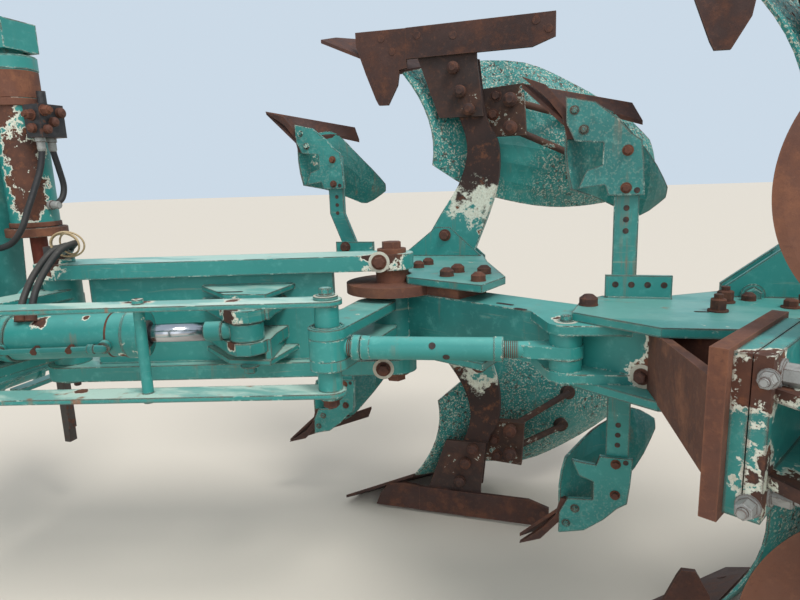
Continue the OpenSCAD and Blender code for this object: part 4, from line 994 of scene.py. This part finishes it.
# bands round the two cylinders: name, low, high, inner and outer radius, lip, finish, slot
turnBands = (
    ("turnRing", 247.4, 274.6, 68, 89.0, 2.0, "rustPlate", "rust"),
    ("turnCollarLow", 276.5, 292, 69, 74, 2.0, "rustPlate", "rust"),
    ("turnCollarHigh", 640, 662, 69, 76, 2.0, "rustPlate", "rust"),
    ("turnNeck", 664, 742, 69, 71.5, 0.8, "rustPlate", "rust"),
    ("turnCap", 744, 785, 69, 73, 2.0, "paintPeeled", "paint"))
shiftBands = (
    ("glandRing", 398, 442, 61, 64.5, 1.5, "paintWorn", "paint"),
    ("barrelSeam", 352, 358, 57, 60.5, 1.5, "rustBolt", "rust"),
    ("barrelFoot", 70, 92, 61, 64.5, 1.5, "paintWorn", "paint"))
for place, node, rows in ((onTurn, "turn_barrel", turnBands), (shiftPlace, "shift_barrel", shiftBands)):
    for name, low, high, inner, outer, lip, finishName, slotName in rows:
        profile = [(inner, low), (outer - lip, low), (outer, low + lip), (outer, high - lip), (outer - lip, high),
                   (inner, high)]
        lathe(name, profile, place, node, finishName)
wiper = [(25.6, 441), (36, 441), (36, 449), (31, 453), (25.6, 453)]
lathe("rodWiper", wiper, shiftPlace, "shift_barrel", "hoseRubber")
sleeve = [(24.4, 384), (25.25, 384), (25.25, 600), (24.4, 600)]
brightRod = lathe("brightRod", sleeve, shiftPlace, "shift_rod", "chrome")
for polygon in brightRod.data.polygons:
    polygon.use_smooth = True


# feed pipe along the side shift cylinder, its elbow and clips: places along and out from the axis, and radius
pipe = {
    "angle": -14,
    "lines": (
        (((120, 76), (160, 76), (240, 76), (300, 76), (330, 76)), 7.5),
        (((120, 76), (98, 78), (88, 68), (86, 58)), 7.5),
        (((330, 76), (352, 76), (356, 70), (356, 60)), 11),
        (((318, 76), (334, 76)), 13),
        (((356, 58), (356, 74)), 17),
        (((86, 58), (86, 70)), 15)),
    "clips": ((((180, 61), (180, 85)), 9), (((270, 61), (270, 85)), 9)),
}


def pipeRows(rows):
    lines = [([onShift(s, pipe["angle"], out) for s, out in places], radius) for places, radius in rows]
    return [(smoothLine(line) if len(line) > 2 else line, radius) for line, radius in lines]


tubePiece("feedPipe", pipeRows(pipe["lines"]), swinging, "paintWorn", 12)
tubePiece("pipeClips", pipeRows(pipe["clips"]), swinging, "rustBolt", 6)

# threads of the turnbuckle and its lock rings: from and to along it, under 0 from its far end, and radius
buckle = {
    "near": (-908.96, 136.17, 0),
    "far": (-1445.96, 58.17, 0),
    "threads": ((47, 82, 20.5), (-134, -103, 20.2)),
    "rings": ((60, 80, 31), (82, 104, [30, 29]), (-157, -135.5, [29.5, 30])),
}
post = Vector(buckle["near"])
along = (Vector(buckle["far"]) - post).normalized()
length = (Vector(buckle["far"]) - post).length


def onBuckle(*ends):
    return [post + along * (end + length if end < 0 else end) for end in ends]


threads = [thread(*onBuckle(start, end), radius) for start, end, radius in buckle["threads"]]
tubePiece("buckleThreads", threads, bodyOf["turnbuckle"], "rustBolt", 20)
rings = [(onBuckle(start, end), radius) for start, end, radius in buckle["rings"]]
tubePiece("lockRings", rings, bodyOf["turnbuckle"], "paintPeeled", 8)

# threaded ends of the stays, behind the clamps
stayThread = {"x": -650, "y": -76, "heights": (258, 348), "length": 26, "radius": 12.5}
for k in (1, 2, 3):
    lines = []
    for side in (1, -1):
        for h in stayThread["heights"]:
            spot = Vector(onBody(k, stayThread["x"], stayThread["y"], h, side))
            lines.append(thread(spot, spot - Vector((0, stayThread["length"], 0)), stayThread["radius"]))
    tubePiece("stayThreads_%d" % k, lines, bodyOf["stays_%d" % k], "rustBolt", 12)

beadLines = {}


def weld(node, points, radius=3.4, both=True):
    rows = beadLines.setdefault(bodyOf[node], [])
    for flip in ((1, -1) if both else (1,)):
        rows.append(bead([Vector((x, y, z * flip)) for x, y, z in points], radius, len(rows) + 1))


for back, front, y, z in ((-821, -101, 35, 130), (-821, -101, 7, 130), (-675, -435, 34, 62), (-700, -435, 34, 99)):
    weld("fork", [onFork(back, y, z), onFork(front, y, z)], 4)
weld("carrier", [(96, -74, 70), (96, 74, 70)], 4)
postTurn = [math.tau * i / 16 for i in range(17)]
weld("lever", [tuple(post + Vector((38 * math.cos(a), 38 * math.sin(a), 51))) for a in postTurn], 3)
for k in (2, 3):
    weld("bracket_%d" % k, [onBracket(k, (x, -122.5, 86)) for x in (-1678, -1528)])
weld("bracket_1", [(-748, -632.5, 115), (-603, -632.5, 115)])
weld("headstock", [(299.5, -230, -214), (299.5, 230, -214)], 4, both=False)
for y in (47, -27):
    weld("headstock", [(325, y, 100), (325, y, 425)], 3.5, both=False)
for body, lines in beadLines.items():
    tubePiece("welds_%s" % body, lines, body, "paintWorn", 7)
print("tubes, threads and welds made")

# tread of the tyre, in metres
tread = {"blocks": 30, "length": 0.062, "width": 0.018, "height": 0.012, "slant": 24.0, "sink": 0.42, "offset": 0.038}
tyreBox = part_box("wheel_tyre")
tyreMiddle = middleOf("wheel_tyre")
treadRadius = (tyreBox[1][2] - tyreBox[0][2]) / 2 - tread["height"] * tread["sink"]
points, turns = [], []
for row in range(2):
    way = 1 if row else -1
    for n in range(tread["blocks"]):
        angle = math.tau * (n + 0.5 * row) / tread["blocks"]
        out = (treadRadius * math.sin(angle), tread["offset"] * way, treadRadius * math.cos(angle))
        points.append(tyreMiddle + Vector(out))
        slant = Matrix.Rotation(math.radians(90 + tread["slant"] * way), 3, "Z")
        turns.append((Matrix.Rotation(angle, 3, "Y") @ slant).to_euler())
treadPiece = growPiece("tyreTread", "block", points, {"turn": ("FLOAT_VECTOR", turns)}, Length=tread["length"],
                       Width=tread["width"], Height=tread["height"], Finish=materials["tyreRubber"])
keep(treadPiece, bodyOf["wheel_tyre"])

# ribs round the sidewalls: how far out to each side, and radii, in metres
ribs = {"rows": ((0.090, 0.214), (0.094, 0.262)), "thickness": 3.0}
ringTurn = [math.tau * i / 72 for i in range(73)]
sideRings = []
for way in (-1, 1):
    for y, r in ribs["rows"]:
        ring = [toPlan(tyreMiddle + Vector((r * math.cos(a), y * way, r * math.sin(a)))) for a in ringTurn]
        sideRings.append((ring, ribs["thickness"]))
tubePiece("sidewallRings", sideRings, bodyOf["wheel_tyre"], "tyreRubber", 8)
print("tyre dressed")


def prism(name, ring, lift, body, finishName):  # a closed block from a ring to where lift moves it
    count = len(ring)
    points = [Vector(p) for p in ring] + [Vector(p) + Vector(lift) for p in ring]
    faces = [tuple(range(count)), tuple(range(2 * count - 1, count - 1, -1))]
    faces += [(i, (i + 1) % count, (i + 1) % count + count, i + count) for i in range(count)]
    return meshPiece(name, [plan(*p) for p in points], faces, finishName, body)


mouthHeight = 0.9


def slotMark(name, node, place, direction, length, width):  # a long hole's mouth on a flat top: a thin dark plate of painted shade for the inside of the hole, in a rust tone for its rusty rim
    way = Vector((*direction, 0)).normalized()
    left = Vector((-way.y, way.x, 0))
    half, straight = width / 2, length / 2 - width / 2
    ring = []
    for n in range(16):
        c, s = (turn(math.tau * (n + 0.5) / 16) for turn in (math.cos, math.sin))
        ring.append(Vector(place) + way * (math.copysign(straight, c) + c * half) + left * s * half)
    prism(name, ring, (0, 0, mouthHeight), bodyOf[node], "rustBlack")


slots = [  # name, node, place, direction, length, width
    ("lugSlot", "fork", (-558, -6, 97.6), (0.96, 0.27), 72, 15),
    ("beamSlot_1", "beam", (-1290, -109, 64.6), beamDir, 52, 15),
    ("beamSlot_2", "beam", (-1335, -55, 64.6), beamDir, 36, 15)]
slots += [("bracketSlot_%d" % k, "bracket_%d" % k, onBracket(k, (-1722, 10, 84.9)), (1, 0), 30, 10) for k in (2, 3)]
for slot in slots:
    slotMark(*slot)
feedBlock = {"x": (-12, 42), "y": (-26, 28), "low": 189.5, "height": 36}
(left, right), (near, far), low = feedBlock["x"], feedBlock["y"], feedBlock["low"]
blockFoot = [(left, near, low), (right, near, low), (right, far, low), (left, far, low)]
prism("feedBlock", blockFoot, (0, 0, feedBlock["height"]), turning, "valveBlack")

# rusted steel over the skimmer shares and shins, on one body
skimmer = {
    "plane": [(206, -4, 277), (-50, -165, 335), (120, -4, 352)],
    "share": [(-50, -165), (-75, -140), (0, -96), (108, 17), (206, 10)],
    "shin": [(206, 277), (146, 331), (112, 375), (100, 425), (86, 425), (96, 366), (150, 300)],
    "shareDepth": 10.6,
    "shinDepth": 15.6,
}


def onPlane(x, y):
    a, b, c = (Vector(p) for p in skimmer["plane"])
    n = (b - a).cross(c - a)
    return a.z - (n.x * (x - a.x) + n.y * (y - a.y)) / n.z


def swollen(ring, by):  # each corner pushed out from the middle
    middle = sum((Vector(p) for p in ring), Vector((0,) * len(ring[0]))) / len(ring)
    return [tuple(Vector(p) + (Vector(p) - middle).normalized() * by) for p in ring]


for k in (1, 2, 3):
    dx, dh, longer = (2, 30, 18) if k == 1 else (0, 0, 0)  # the first body's skimmers differ a little
    share, shin = list(skimmer["share"]), list(skimmer["shin"])
    share[-1] = (share[-1][0] + longer, share[-1][1])
    shin[0] = (shin[0][0] + longer, shin[0][1])
    heights = [onPlane(x, y) for x, y in share]
    body = bodyOf["skimmers_%d" % k]
    for side, word in ((1, "upper"), (-1, "lower")):
        corners = [onBody(k, x + dx, y, h - dh - 0.8, side) for (x, y), h in zip(swollen(share, 1.2), heights)]
        lift = (0, 0, -side * skimmer["shareDepth"])
        prism("skimShare_%s_%d" % (word, k), corners, lift, body, "rustShare")
        corners = [onBody(k, x + dx, 20.8, h - dh, side) for x, h in swollen(shin, 1.0)]
        prism("skimShin_%s_%d" % (word, k), corners, (0, -skimmer["shinDepth"], 0), body, "rustShare")
print("skimmer shares dressed")
